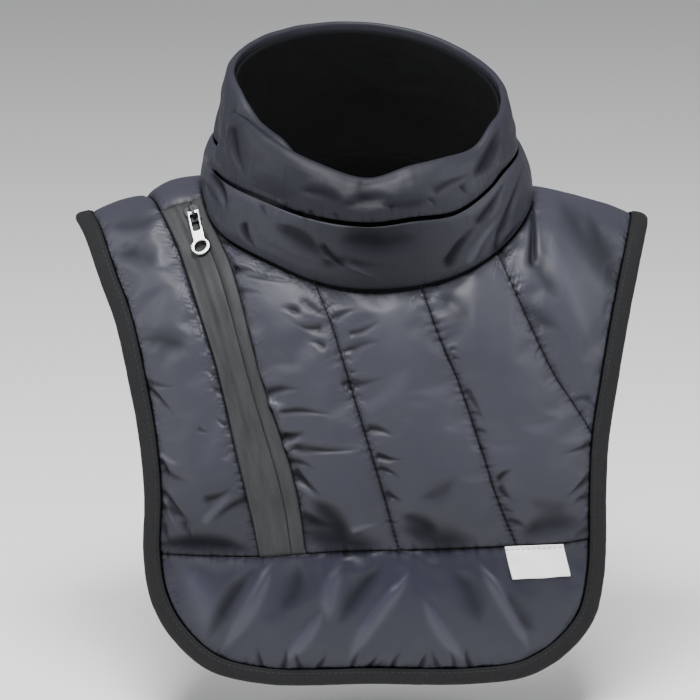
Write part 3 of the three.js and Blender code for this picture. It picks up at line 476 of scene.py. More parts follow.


# Folds that the photograph shows: from x, y, to x, y and half width in its pixels, depth in
# millimetres. A narrow one is a wedge that starts at its seam, a wide one is a lens.
# Each fold also paints shade into its crease, and a highlight where its depth is negative.
FOLDS = (
    # between the zip and the first quilted line
    (231, 269, 312, 284, 3.5, 0.9), (238, 292, 262, 294, 3, 0.7), (298, 312, 282, 310, 4, 1.4),
    (320, 328, 296, 324, 4, 1.3), (324, 347, 309, 342, 4, 1.2), (266, 393, 300, 389, 4.5, 1.7),
    (268, 403, 300, 408, 4, -1.2), (282, 411, 330, 415, 4, 1.6), (281, 437, 306, 430, 5, 2.0),
    (283, 447, 308, 440, 3.5, -1.2), (296, 448, 362, 449, 4, 1.5), (288, 461, 316, 469, 4, 1.6),
    (294, 472, 324, 496, 5, 1.8), (290, 481, 318, 500, 3.5, -1.5), (303, 515, 336, 528, 5, 1.5),
    (312, 500, 350, 545, 9, 2.2), (303, 300, 334, 318, 5, 0.9), (300, 520, 345, 545, 14, 1.5),
    (303, 532, 385, 545, 12, 2.8), (352, 532, 380, 524, 4, -1.0), (298, 532, 306, 545, 2.5, 1.2),
    (333, 318, 356, 310, 3, 1.2), (351, 334, 379, 321, 3, 1.2), (344, 352, 358, 348, 2.5, 1.0),
    (350, 372, 357, 370, 2.2, 1.0), (367, 429, 394, 436, 4.5, 1.6), (377, 456, 404, 459, 3.5, 1.6),
    (379, 468, 401, 479, 3, 1.4), (386, 493, 404, 500, 3.5, 1.5),
    # left of the zip
    (146, 386, 176, 418, 2.6, 1.6), (147, 382, 176, 386, 3, 1.0), (160, 460, 169, 481, 2.6, 1.5),
    (162, 456, 182, 467, 2.6, -1.0), (162, 491, 185, 522, 2.6, 1.6),
    (165, 500, 180, 532, 2.4, -1.0), (184, 522, 190, 542, 2.4, 1.2), (164, 524, 172, 546, 2.4, 1.3),
    (226, 425, 215, 416, 2.6, 1.2), (198, 428, 209, 432, 2.6, 1.0), (160, 544, 252, 550, 8, 2.6),
    (216, 377, 202, 370, 3, 0.9), (222, 391, 210, 384, 3, 1.0), (206, 500, 232, 487, 4, 1.5),
    (206, 520, 236, 494, 3.5, -1.4), (248, 498, 212, 521, 4, 1.6), (160, 505, 196, 528, 5, 1.3),
    (163, 470, 190, 482, 4, 1.0), (118, 250, 160, 268, 10, 1.4), (110, 225, 160, 213, 8, 1.0),
    (142, 340, 190, 352, 9, 1.2),
    # beside the other quilted lines
    (344, 384, 384, 377, 5, 1.2), (402, 516, 438, 536, 7, 1.5), (422, 498, 455, 478, 7, 0.8),
    (350, 350, 380, 342, 5, 0.9), (402, 526, 476, 541, 12, 2.5), (466, 390, 484, 424, 3, 1.1),
    (472, 412, 484, 415, 2.2, 0.9), (476, 430, 490, 434, 2.4, 1.1), (480, 447, 492, 450, 2.4, 1.1),
    (450, 350, 459, 351, 2.2, 1.0), (453, 357, 462, 358, 2.2, 1.0), (498, 480, 514, 469, 3.5, 1.5),
    (500, 487, 515, 502, 3.5, 1.4), (509, 520, 528, 529, 3, 1.3), (504, 508, 516, 511, 2.4, 1.0),
    (520, 535, 585, 522, 11, 2.2), (530, 500, 572, 506, 7, 0.6), (440, 296, 470, 330, 9, 1.1),
    (520, 300, 560, 330, 8, 1.0), (592, 444, 560, 453, 3, 1.4), (590, 398, 560, 405, 4, 1.0),
    (589, 477, 564, 498, 3, 1.5), (590, 495, 571, 505, 2.6, 1.2), (591, 514, 580, 520, 2.4, 1.1),
    (592, 528, 572, 540, 4, 1.2), (560, 200, 610, 290, 12, 1.6), (552, 236, 596, 350, 9, -0.5),
    (590, 215, 622, 300, 8, 1.2), (535, 250, 560, 300, 7, 1.0),
    # hem panel: long ridges, the hollows between them, puckers along the binding
    (272, 564, 223, 649, 6.5, -1.5), (340, 568, 328, 620, 8, -1.2), (322, 612, 285, 661, 5.5, -1.2),
    (408, 578, 348, 660, 6.5, -1.4), (480, 566, 528, 648, 5.5, -1.5), (424, 600, 464, 660, 6, -1.1),
    (184, 566, 214, 640, 14, -1.3), (250, 572, 208, 640, 7, 1.4), (300, 566, 282, 610, 9, 1.2),
    (380, 568, 340, 622, 8, 1.3), (455, 572, 480, 620, 10, 1.3), (505, 590, 535, 630, 8, 1.1),
    (262, 668, 258, 645, 2.5, 1.3), (283, 668, 286, 646, 2.5, 1.4), (300, 668, 296, 648, 2.5, 1.2),
    (318, 668, 326, 652, 2.5, 1.4), (352, 669, 360, 650, 2.5, 1.3), (368, 669, 378, 652, 2.5, 1.3),
    (392, 669, 402, 650, 2.5, 1.3), (420, 668, 426, 650, 2.5, 1.4), (438, 668, 432, 648, 2.5, 1.2),
    (455, 668, 449, 650, 2.5, 1.2), (470, 667, 466, 645, 2.5, 1.4),
    # top stitching under the hem seam
    (168, 558, 330, 558.5, 5.2, -0.25), (310, 558.5, 440, 555, 5.2, -0.25),
    # neck seam puckers at the left
    (216, 233, 225, 235.5, 2, 0.9), (219, 240, 238, 249, 2.5, 1.1),
    # collar, front and flap
    (232, 128, 245, 175, 5, 1.4), (214, 174, 227, 212, 4, 2.2), (243, 225, 254, 248, 3.5, 2.0),
    (275, 226, 322, 256, 7, 1.7), (322, 246, 346, 268, 3.5, 1.6), (326, 257, 346, 273, 3, -1.0),
    (346, 262, 382, 279, 3.5, -0.8), (340, 238, 392, 250, 13, 1.3), (286, 204, 291, 212, 2.2, 1.0),
    (301, 211, 306, 225, 2.4, 1.2), (310, 211, 322, 223, 2.4, 1.2), (334, 214, 340, 224, 2.4, 0.9),
    (262, 206, 268, 217, 2.4, 0.9), (325, 262, 385, 268, 5, 1.0), (340, 240, 420, 236, 8, 0.9),
    (448, 264, 480, 222, 4.5, 1.9), (480, 222, 507, 177, 4.5, 1.6), (497, 252, 501, 230, 3, 1.4),
    (500, 234, 525, 158, 3.5, 1.5), (500, 253, 525, 218, 3, 1.5), (503, 257, 521, 238, 3, 1.2),
    (470, 262, 502, 215, 4, -1.0), (532, 262, 529, 190, 4, 2.2), (232, 268, 258, 272, 2.5, 1.2),
    (364, 177, 369, 207, 8, 0.8), (340, 207, 396, 199, 6, 0.7), (250, 180, 300, 196, 12, 0.7),
    (345, 232, 420, 244, 14, 0.8), (392, 206, 396, 216, 2.4, 0.9), (430, 199, 436, 210, 2.4, 0.9),
    (462, 186, 470, 197, 2.4, 1.0), (436, 192, 470, 176, 4, 1.0), (476, 176, 500, 130, 6, 1.6),
    (300, 190, 345, 203, 6, 0.8), (380, 205, 430, 200, 6, 0.8),
)
FOLD = {"reach": 3.2, "strength": 1.1, "sharp": 6, "deepest": 2.6, "brightest": -0.6, "bend": 0.5}
RIM = {"at": 2, "share": 0.16}
WEDGE = {"width": 5, "narrows": 0.7, "rise": (-0.12, 0.06), "fall": (0.25, 1.1)}
LENS = {"ends": 0.4, "middle": 0.6, "rise": (-0.1, 0.25), "fall": (0.65, 1.1)}
FACING = {"least": 0.15, "full": 0.4}
FOLD_RISE = 2.5


def fold_depth(px, py):
    """How far the photographed folds push in the cloth at a pixel, and how much painted shade their
    creases get, a painted highlight where it is negative.

    Both are in millimetres.
    """
    push = crease_and_painted_shade = 0
    for i, (x0, y0, x1, y1, width, depth) in enumerate(FOLDS):
        reach = width * FOLD["reach"]
        if not (min(x0, x1) - reach < px < max(x0, x1) + reach):
            continue
        if not (min(y0, y1) - reach < py < max(y0, y1) + reach):
            continue
        along_x, along_y = x1 - x0, y1 - y0
        length = math.hypot(along_x, along_y)
        t = ((px - x0) * along_x + (py - y0) * along_y) / length ** 2
        swell = math.sin(math.pi * clamp01(t))
        away = ((px - x0) * along_y - (py - y0) * along_x) / length / width
        away += FOLD["bend"] * swell * (-1) ** i
        if width <= WEDGE["width"]:
            kind = WEDGE
            away /= 1 - WEDGE["narrows"] * clamp01(t)
        else:
            kind = LENS
            away /= LENS["ends"] + LENS["middle"] * swell
        taper = smooth(*kind["rise"], t) * (1 - smooth(*kind["fall"], t))
        groove = math.exp(-away * away)
        rims = math.exp(-(away - RIM["at"]) ** 2) + math.exp(-(away + RIM["at"]) ** 2)
        push += depth * taper * (groove - RIM["share"] * rims)
        crease_and_painted_shade += depth * taper * groove * min(FOLD["sharp"] / width, 1)
    return push * FOLD["strength"], min(max(crease_and_painted_shade, FOLD["brightest"]), FOLD["deepest"])


def press_folds(bm):
    """Pushes the photographed folds into the faces that look at the camera, less beside a seam, and
    paints shade into their creases and a highlight along their ridges.
    """
    bm.normal_update()
    layer = bm.verts.layers.float
    moves = []
    for vert in bm.verts:
        facing = -vert.normal.dot(VIEW_DIRECTION)
        if facing > FACING["least"]:
            depth, crease_and_painted_shade = fold_depth(*photo_pixel(vert.co))
            if depth or crease_and_painted_shade:
                vert[layer["crease_and_painted_shade"]] += crease_and_painted_shade * smooth(FACING["least"], FACING["full"], facing)
                share = min(vert[layer["fullness"]] * FOLD_RISE, 1)
                moves.append((vert, vert.normal * (depth * share * MM)))
    for vert, move in moves:
        vert.co -= move


def add_object(name, bm):
    mesh = bpy.data.meshes.new(name)
    bm.to_mesh(mesh)
    bm.free()
    piece = bpy.data.objects.new(name, mesh)
    bpy.context.scene.collection.objects.link(piece)
    return piece


PANEL_CAP = 11
PANEL_LEAST = 0.7
BACKING_LIFT = 0.2
PAINTED_SHADE_LOWER_PART = {"from": 160, "to": 240}


def back_cloth(bm):
    """Keeps the filling's height over the form and sews the fleece backing on."""
    across, down = (bm.verts.layers.float[key] for key in ("across", "down"))
    for vert in bm.verts:
        x, s = vert[across], vert[down]
        out = body_normal(x, s)
        lift = (vert.co - form_point(x, s, 0)).dot(out)
        vert.co += out * (min(max(lift, PANEL_LEAST * MM), PANEL_CAP * MM) - lift)
    close_cloth(bm, lambda vert: form_point(vert[across], vert[down], BACKING_LIFT))


def close_cloth(bm, backing_place):
    """Makes a second skin behind the cloth and walls between their edges."""
    front = list(bm.faces)
    grown = bmesh.ops.extrude_face_region(bm, geom=front, use_keep_orig=True)
    behind = [item for item in grown["geom"] if isinstance(item, bmesh.types.BMVert)]
    places = [backing_place(vert) for vert in behind]
    for vert, place in zip(behind, places):
        vert.co = place
    crease_and_painted_shade = bm.edges.layers.float.get("crease_edge") or bm.edges.layers.float.new("crease_edge")
    shown = set(front)
    for face in bm.faces:
        face.material_index = 0 if face in shown else 1
        face.smooth = True
    for edge in bm.edges:
        kinds = {face in shown for face in edge.link_faces}
        if len(kinds) > 1:
            edge[crease_and_painted_shade] = 1
    bmesh.ops.recalc_face_normals(bm, faces=bm.faces)


def map_pattern(mesh):
    """Gives the cloth a UV map in metres of its own pattern."""
    uv = mesh.uv_layers.get("pattern") or mesh.uv_layers.new(name="pattern")
    across = mesh.attributes["across"].data
    down = mesh.attributes["down"].data
    for loop in mesh.loops:
        i = loop.vertex_index
        uv.data[loop.index].uv = across[i].value * MM, -down[i].value * MM


def finish_piece(piece, body, slot, nodes, *materials):
    for item in materials:
        piece.data.materials.append(item)
    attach(piece, body)
    if nodes:
        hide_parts(*nodes)


def refine(piece):
    """Splits every face of the cloth in four on a smooth surface."""
    modifier = piece.modifiers.new("surface", "SUBSURF")
    modifier.levels = modifier.render_levels = 1
    modifier.boundary_smooth = "PRESERVE_CORNERS"
    bpy.context.view_layer.update()
    coarse = piece.data
    graph = bpy.context.evaluated_depsgraph_get()
    piece.data = bpy.data.meshes.new_from_object(piece.evaluated_get(graph))
    piece.modifiers.clear()
    bpy.data.meshes.remove(coarse)


def make_padded(name, bm, settings, slot, node, materials, back=None):
    """Fills the sewn cloth, presses the photographed folds in and backs it."""
    piece = add_object(name, bm)
    simulate(piece, settings)
    refine(piece)
    bm = bmesh.new()
    bm.from_mesh(piece.data)
    press_folds(bm)
    if back:
        back(bm)
    bm.to_mesh(piece.data)
    bm.free()
    map_pattern(piece.data)
    finish_piece(piece, GARMENT, slot, [node], *materials)


def make_panel(name, bm, settings, slot, node, materials, shade, seed):
    """Turns flat fields into one padded panel, its lower part darkened with painted shade."""
    weld(bm)
    measure_seams(bm, MM, lambda vert, near: (SEAM_LEAN * near.x + near.y) * MM)
    layer = bm.verts.layers.float
    # Painted shade, deepening towards the bottom
    for vert in bm.verts:
        vert[layer["crease_and_painted_shade"]] = shade * smooth(PAINTED_SHADE_LOWER_PART["from"], PAINTED_SHADE_LOWER_PART["to"], vert[layer["down"]])
    raise_cloth(bm, settings.puff / MM, seed)
    make_padded(name, bm, settings, slot, node, materials, back_cloth)


# Materials
def material(name, color, roughness, surface=None):
    """The material of that name, made the first time. Its surface function returns the normal."""
    made = bpy.data.materials.get(name)
    if made:
        return made
    made = bpy.data.materials.new(name)
    made.use_nodes = True
    tree = made.node_tree
    shader = tree.nodes["Principled BSDF"]
    shader.inputs["Base Color"].default_value = (*color, 1)
    shader.inputs["Roughness"].default_value = roughness
    if surface:
        tree.links.new(surface(tree, shader, color), shader.inputs["Normal"])
    return made


def add_node(tree, kind, inputs=None, **values):
    node = tree.nodes.new(kind)
    for key, value in values.items():
        setattr(node, key, value)
    for key, value in (inputs or {}).items():
        if isinstance(value, bpy.types.NodeSocket):
            tree.links.new(value, node.inputs[key])
        else:
            node.inputs[key].default_value = value
    return node


def maths(tree, operation, *values):
    return add_node(tree, "ShaderNodeMath", dict(enumerate(values)), operation=operation).outputs[0]


def pattern_place(tree):
    """Place on the flat cloth, in metres."""
    return add_node(tree, "ShaderNodeUVMap", uv_map="pattern").outputs[0]


def object_place(tree):
    return add_node(tree, "ShaderNodeTexCoord").outputs["Object"]


def attribute(tree, name):
    return add_node(tree, "ShaderNodeAttribute", attribute_name=name).outputs["Fac"]


def cloud(tree, place, scale, detail=2, **inputs):
    """Noise with features of one part in scale of a metre."""
    inputs = {"Vector": place, "Scale": scale, "Detail": detail, **inputs}
    return add_node(tree, "ShaderNodeTexNoise", inputs).outputs["Fac"]


def shade_range(tree, shader, color, factor, dark, light):
    """Colour that varies between two shares of itself."""
    mix = add_node(tree, "ShaderNodeMix", {
        0: factor, 6: (*[c * dark for c in color], 1), 7: (*[min(c * light, 1) for c in color], 1),
    }, data_type="RGBA")
    tree.links.new(mix.outputs[2], shader.inputs["Base Color"])


def waves(tree, value, number):
    """Ridges across a length, so many to the metre."""
    return maths(tree, "SINE", maths(tree, "MULTIPLY", value, 2 * math.pi * number))


def weave(tree, place, threads):
    """Height of a plain weave with so many threads a metre."""
    parts = add_node(tree, "ShaderNodeSeparateXYZ", {"Vector": place})
    return maths(tree, "MULTIPLY", *(waves(tree, parts.outputs[i], threads) for i in range(2)))


def relief(tree, *layers):
    """Normal under layers of height, strength and depth in metres, the first one lowest."""
    normal = None
    for height, strength, distance in layers:
        inputs = {"Height": height, "Strength": strength, "Distance": distance}
        if normal is not None:
            inputs["Normal"] = normal
        normal = add_node(tree, "ShaderNodeBump", inputs).outputs[0]
    return normal


# Scales are features or threads in a metre, reliefs are a strength and a depth in metres,
# tones are shares of the colour
NYLON = {
    "cloud": (14, 3), "tone": (0.4, 0.8), "gloss": 0.37, "crease_and_painted_shade": 0.62,
    "crumple": (45, 2), "crumple_relief": (0.18, 0.002), "threads": 2200, "relief": (0.1, 0.00006),
}
SEAM_SHADE = {"depth": 0.94, "fade": 1050, "ragged": 380, "vary": (-3.4, 0.75), "least": 0.45}
PUCKER = {"along": 190, "away": 30, "fade": 260, "relief": (0.5, 0.006)}


def nylon(tree, shader, color):
    """Thin satin nylon: fine plain weave, uneven tone, puckers and painted shade beside each seam, more
    painted shade or a painted highlight from a per-point attribute, which also dims or raises the gloss.
    """
    pattern = pattern_place(tree)
    far, along = attribute(tree, "seam_distance"), attribute(tree, "seam_along")
    tone = maths(tree, "MULTIPLY_ADD", cloud(tree, pattern, *NYLON["cloud"]), *NYLON["tone"])
    line = add_node(tree, "ShaderNodeCombineXYZ", {"X": along}).outputs[0]
    ragged = cloud(tree, line, SEAM_SHADE["ragged"], 1)
    fade = maths(tree, "MULTIPLY_ADD", ragged, *(k * SEAM_SHADE["fade"] for k in SEAM_SHADE["vary"]))
    fade = maths(tree, "MINIMUM", fade, -SEAM_SHADE["least"] * SEAM_SHADE["fade"])
    # Painted shade along each seam, ragged along its length
    at_seam = maths(tree, "EXPONENT", maths(tree, "MULTIPLY", far, fade))
    dimmed = maths(tree, "MULTIPLY_ADD", at_seam, -SEAM_SHADE["depth"], 1)
    # Painted shade in creases, low on the panels and round the collar's front, a painted highlight where
    # negative; it dims the gloss too
    crease_and_painted_shade = maths(tree, "MULTIPLY", attribute(tree, "crease_and_painted_shade"), -NYLON["crease_and_painted_shade"])
    dimmed = maths(tree, "MULTIPLY", dimmed, maths(tree, "EXPONENT", crease_and_painted_shade))
    shade = add_node(tree, "ShaderNodeMix", {
        0: 1, 6: (*color, 1), 7: maths(tree, "MULTIPLY", tone, dimmed),
    }, data_type="RGBA", blend_type="MULTIPLY")
    tree.links.new(shade.outputs[2], shader.inputs["Base Color"])
    gloss = shader.inputs["Specular IOR Level"]
    gloss.default_value = NYLON["gloss"]
    tree.links.new(maths(tree, "MULTIPLY", dimmed, NYLON["gloss"]), gloss)
    beside = add_node(tree, "ShaderNodeCombineXYZ", {
        "X": maths(tree, "MULTIPLY", along, PUCKER["along"]),
        "Y": maths(tree, "MULTIPLY", far, PUCKER["away"])}).outputs[0]
    near = maths(tree, "EXPONENT", maths(tree, "MULTIPLY", far, -PUCKER["fade"]))
    return relief(
        tree, (maths(tree, "MULTIPLY", cloud(tree, beside, 1, 1), near), *PUCKER["relief"]),
        (cloud(tree, pattern, *NYLON["crumple"]), *NYLON["crumple_relief"]),
        (weave(tree, pattern, NYLON["threads"]), *NYLON["relief"]))


FLEECE = {
    "color": (0.0033, 0.0035, 0.004), "roughness": 0.95, "gloss": 0.15, "tone": (0.55, 1.7),
    "nubs": 900, "nub_relief": (0.5, 0.0005), "tufts": 180, "tuft_relief": (0.35, 0.0012),
}


def fleece(tree, shader, color):
    """Short-pile fleece: matt, nubbly, with a faint sheen."""
    place = object_place(tree)
    nubs = cloud(tree, place, FLEECE["nubs"])
    shade_range(tree, shader, color, nubs, *FLEECE["tone"])
    shader.inputs["Specular IOR Level"].default_value = FLEECE["gloss"]
    return relief(tree, (cloud(tree, place, FLEECE["tufts"]), *FLEECE["tuft_relief"]),
                  (nubs, *FLEECE["nub_relief"]))


COATING = {
    "roughness": 0.7, "drawn": (5, 1, 1), "cloud": (45, 5), "cloud_roughness": 0.65,
    "patchy": (2.4, -0.7), "tone": (0.45, 1.9), "threads": 900, "relief": (0.25, 0.00012),
    "grain": 1400, "grain_relief": (0.3, 0.0001),
}


def coated(tree, shader, color):
    """Matt coated zip tape: fine grain, faint lengthwise ribs."""
    pattern = pattern_place(tree)
    drawn = add_node(tree, "ShaderNodeMapping", {"Vector": pattern, "Scale": COATING["drawn"]})
    cloudy = cloud(tree, drawn.outputs[0], *COATING["cloud"], Roughness=COATING["cloud_roughness"])
    patchy = maths(tree, "MULTIPLY_ADD", cloudy, *COATING["patchy"])
    shade_range(tree, shader, color, patchy, *COATING["tone"])
    return relief(tree, (weave(tree, pattern, COATING["threads"]), *COATING["relief"]),
                  (cloud(tree, pattern, COATING["grain"]), *COATING["grain_relief"]))


RIBBON = {
    "roughness": 0.85, "gloss": 0.3, "nap": (500, 3), "tone": (0.6, 1.5), "nap_relief": (0.4, 0.0005),
    "ribs": 1100, "relief": (0.5, 0.0002),
}


def ribbon(tree, shader, color):
    """Knitted binding ribbon: fine ribs across its length and a soft nap."""
    pattern = pattern_place(tree)
    nap = cloud(tree, pattern, *RIBBON["nap"])
    shade_range(tree, shader, color, nap, *RIBBON["tone"])
    shader.inputs["Specular IOR Level"].default_value = RIBBON["gloss"]
    parts = add_node(tree, "ShaderNodeSeparateXYZ", {"Vector": pattern})
    return relief(tree, (waves(tree, parts.outputs[0], RIBBON["ribs"]), *RIBBON["relief"]),
                  (nap, *RIBBON["nap_relief"]))


SATIN = {
    "color": (0.96, 0.96, 0.96), "roughness": 0.5, "cloud": (120, 3), "tone": (0.94, 1.04),
    "threads": 1500, "relief": (0.3, 0.00008),
}


def satin(tree, shader, color):
    """Blank white woven label."""
    pattern = pattern_place(tree)
    shade_range(tree, shader, color, cloud(tree, pattern, *SATIN["cloud"]), *SATIN["tone"])
    return relief(tree, (weave(tree, pattern, SATIN["threads"]), *SATIN["relief"]))


def grained(grain, tone, depth, gloss=None):
    """A surface with one grain, which shades it and roughens it."""
    def surface(tree, shader, color):
        marks = cloud(tree, object_place(tree), *grain)
        shade_range(tree, shader, color, marks, *tone)
        if gloss is not None:
            shader.inputs["Specular IOR Level"].default_value = gloss
        return relief(tree, (marks, *depth))
    return surface


THREAD = {"dark": (0.005, 0.005, 0.006), "grey": (0.28, 0.28, 0.28), "roughness": 0.6}
ENAMEL = {"color": (0.012, 0.012, 0.014), "roughness": 0.4}
spun_thread = grained(grain=(2500, 2), tone=(0.7, 1.4), depth=(0.5, 0.0002))
rubbed_enamel = grained(grain=(700, 4), tone=(0.6, 1.9), depth=(0.15, 0.0002), gloss=0.35)

NICKEL = {
    "color": (0.62, 0.62, 0.63), "roughness": 0.24, "marks": (900, 5), "mark_tone": (0.35, 0.55),
    "rim": 0.35, "painted_rim_reflection": -0.95, "tone": (0.1, 1.25), "relief": (0.12, 0.0002),
}


def plated(tree, shader, color):
    """Bright plated metal with fine handling marks and a painted dark reflection towards its rims, where
    the view grazes them.
    """
    shader.inputs["Metallic"].default_value = 1
    marks = cloud(tree, object_place(tree), *NICKEL["marks"])
    rim = add_node(tree, "ShaderNodeLayerWeight", {"Blend": NICKEL["rim"]}).outputs["Facing"]
    tone = maths(tree, "MULTIPLY_ADD", marks, *NICKEL["mark_tone"])
    # Painted dark reflection where the surface turns away from the view
    tone = maths(tree, "MULTIPLY_ADD", rim, NICKEL["painted_rim_reflection"], tone)
    shade_range(tree, shader, color, tone, *NICKEL["tone"])
    return relief(tree, (marks, *NICKEL["relief"]))


# Panels: faces across and down the fields of each
CHEST_GRID = {"columns": 24, "rows": 78}
QUILT_3_GRID = {"columns": 54, "rows": 58}
SIDE_GRID = {"columns": 22, "rows": 110}
PATCH_GRID = {"columns": 16, "rows": 22}
HEM_GRID = {"columns": 104, "rows": 36}
BACK_GRID = {"shoulder": 20, "neck": 70, "rows": 50}
SIDE_TOP_SHARE = 0.2
HEM_TURN = 3
BACK_TURN = 4


def chest_fields(bm):
    c = CORNER
    line_1 = line_run(quilt_1, c["neck_1"], c["quilt_1_hem"])
    line_2 = line_run(quilt_2, c["neck_2"], c["quilt_2_hem"])
    line_3 = line_run(quilt_3, c["neck_3"], c["quilt_3_end"])
    right = chain(line_3, edge_run(QUILT_END, HEM_RIGHT), QUILT_3_GRID["columns"] / CHEST_GRID["rows"])
    lines = line_run(zip_right, c["zip_right_top"], c["zip_right_hem"]), line_1, line_2, right
    angles = ZIP_ANGLE, *QUILT_ANGLES
    ends = "zip_right_hem", "quilt_1_hem", "quilt_2_hem", "hem_right"
    for i in range(3):
        lay_field(bm, neck_run(angles[i], angles[i + 1]), hem_run(c[ends[i]], c[ends[i + 1]]),
                  lines[i], lines[i + 1], **CHEST_GRID)
    lay_field(bm, straight(c["neck_right"], c["seam_right"]), line_3,
              neck_run(-SEAM_ANGLE, QUILT_ANGLES[2]), edge_run(SEAM_RIGHT, QUILT_END),
              **QUILT_3_GRID, tight="down")


def side_fields(bm):
    c = CORNER
    upper = line_run(zip_left, c["zip_seam"], c["zip_left_top"])
    lower = line_run(zip_left, c["zip_left_top"], c["zip_left_hem"])
    lay_field(bm, straight(c["seam_left"], c["zip_seam"]), hem_run(c["hem_left"], c["zip_left_hem"]),
              edge_run(SEAM_LEFT, HEM_LEFT), chain(upper, lower, SIDE_TOP_SHARE), **SIDE_GRID)


def patch_fields(bm):
    c = CORNER
    lay_field(bm, straight(c["zip_seam"], c["neck_left"]), straight(c["zip_left_top"], c["tape_top"]),
              line_run(zip_left, c["zip_seam"], c["zip_left_top"]),
              neck_run(SEAM_ANGLE, ZIP_TOP_ANGLE), **PATCH_GRID)


def hem_fields(bm):
    lay_field(bm, hem_run(CORNER["hem_left"], CORNER["hem_right"]),
              edge_run(HEM_TURN, HEM_RIGHT - HEM_TURN), edge_run(HEM_LEFT - len(OUTLINE), HEM_TURN),
              edge_run(HEM_RIGHT, HEM_RIGHT - HEM_TURN), **HEM_GRID, tight="down")


def back_fields(bm):
    c = CORNER
    columns = 2 * BACK_GRID["shoulder"] + BACK_GRID["neck"]
    first = BACK_GRID["shoulder"] / columns
    last = 1 - first
    left = straight(c["seam_left"], c["neck_left"])
    middle = neck_run(SEAM_ANGLE, 360 - SEAM_ANGLE)
    right = straight(c["neck_right"], c["seam_right"])
    lay_field(bm, chain(chain(left, middle, first / last), right, last),
              edge_run(SEAM_LEFT - BACK_TURN, SEAM_RIGHT + BACK_TURN),
              edge_run(SEAM_LEFT, SEAM_LEFT - BACK_TURN), edge_run(SEAM_RIGHT, SEAM_RIGHT + BACK_TURN),
              columns, BACK_GRID["rows"], "down")


# Rolls of the collar
COLLAR_COLUMNS = 236
ROLL_SEAM = 3
ROLL_PUFF = {"free": 3.8, "pressed": 2.9}
ROLL_REACH = {"free": 1.3, "pressed": 0.7, "rise": 2}
ROLL_INSIDE = 0.3
ROLL_ROUND = 0.55
ROLL_UNEVEN = {"pitch": 9, "rows": 3}
# Shares of the way round a roll's section: face, rim, back, and the last bit that shuts it
FACE = 0.62
RIM_TURN = 0.16
FRONT_END = 0.78
BACK_SPAN = 0.2
SHUT = 0.99
SEAM_LEVEL = 0.006
RIM_RADIUS = 2.5
RIM_FULL = {"rise": 0.35, "turn": 0.3, "back": 0.1, "fades": 0.3}
END = {"round": 6, "front": 0.7, "back": 0.2, "lift": 0.5, "least": 0.2}
ROLL_HEIGHTS = 1.4
# Painted shade on the rolls of the collar, deepest at their middle angle near the front and lighter at
# the sides
LOWER_PAINTED_SHADE = {"middle": 1.4, "side": 0.3, "at": -5, "narrow": 8}
UPPER_PAINTED_SHADE = {"middle": 1.25, "side": 0.6, "at": 22, "narrow": 3}


def between(range_of, free):
    """Value between a range's pressed and free ends."""
    return range_of["pressed"] + (range_of["free"] - range_of["pressed"]) * free


def underlap_drop(angle):
    """How far the hidden end's rim slopes down below the rest of the rim."""
    near = 1 - smooth(UNDERLAP_DROP["from"], UNDERLAP_DROP["to"], angle)
    return UNDERLAP_DROP["depth"] * near


def lower_section(angle, v):
    """Round the lower roll's section: its level, height in the wall and out, and fullness."""
    if v < FRONT_END:
        t = v / FRONT_END
        full = math.sin(math.pi * t)
        return SEAM_LEVEL + (1 - 2 * SEAM_LEVEL) * t, ROLL_SEAM, full ** ROLL_ROUND, full
    if v > SHUT:
        return SEAM_LEVEL, ROLL_SEAM, 0, 0
    t = min((v - FRONT_END) / BACK_SPAN, 1)
    return 1 - SEAM_LEVEL - (1 - 2 * SEAM_LEVEL) * t, ROLL_INSIDE, 0, 0


def upper_section(angle, v):
    """The same for the upper roll, which turns over at the rim."""
    height = collar_frame(angle, 2)[3]
    top = 2 - (RIM_RADIUS + underlap_drop(angle)) / height
    if v < FACE:
        t = v / FACE
        full = math.sin(math.pi * t)
        wall = ROLL_SEAM + (2 * RIM_RADIUS - ROLL_SEAM) * t
        level = 1 + SEAM_LEVEL + (top - 1 - SEAM_LEVEL) * t
        return level, wall, full ** ROLL_ROUND, max(full, t * RIM_FULL["rise"])
    if v < FRONT_END:
        turn = (v - FACE) / RIM_TURN * math.pi
        level = top + RIM_RADIUS / height * math.sin(turn)
        return level, RIM_RADIUS * (1 + math.cos(turn)), 0, RIM_FULL["turn"]
    if v > SHUT:
        return 1 + SEAM_LEVEL, ROLL_SEAM, 0, 0
    t = min((v - FRONT_END) / BACK_SPAN, 1)
    full = RIM_FULL["back"] * (1 - smooth(0, RIM_FULL["fades"], t))
    return top - (top - 1 - SEAM_LEVEL) * t, 0, 0, full


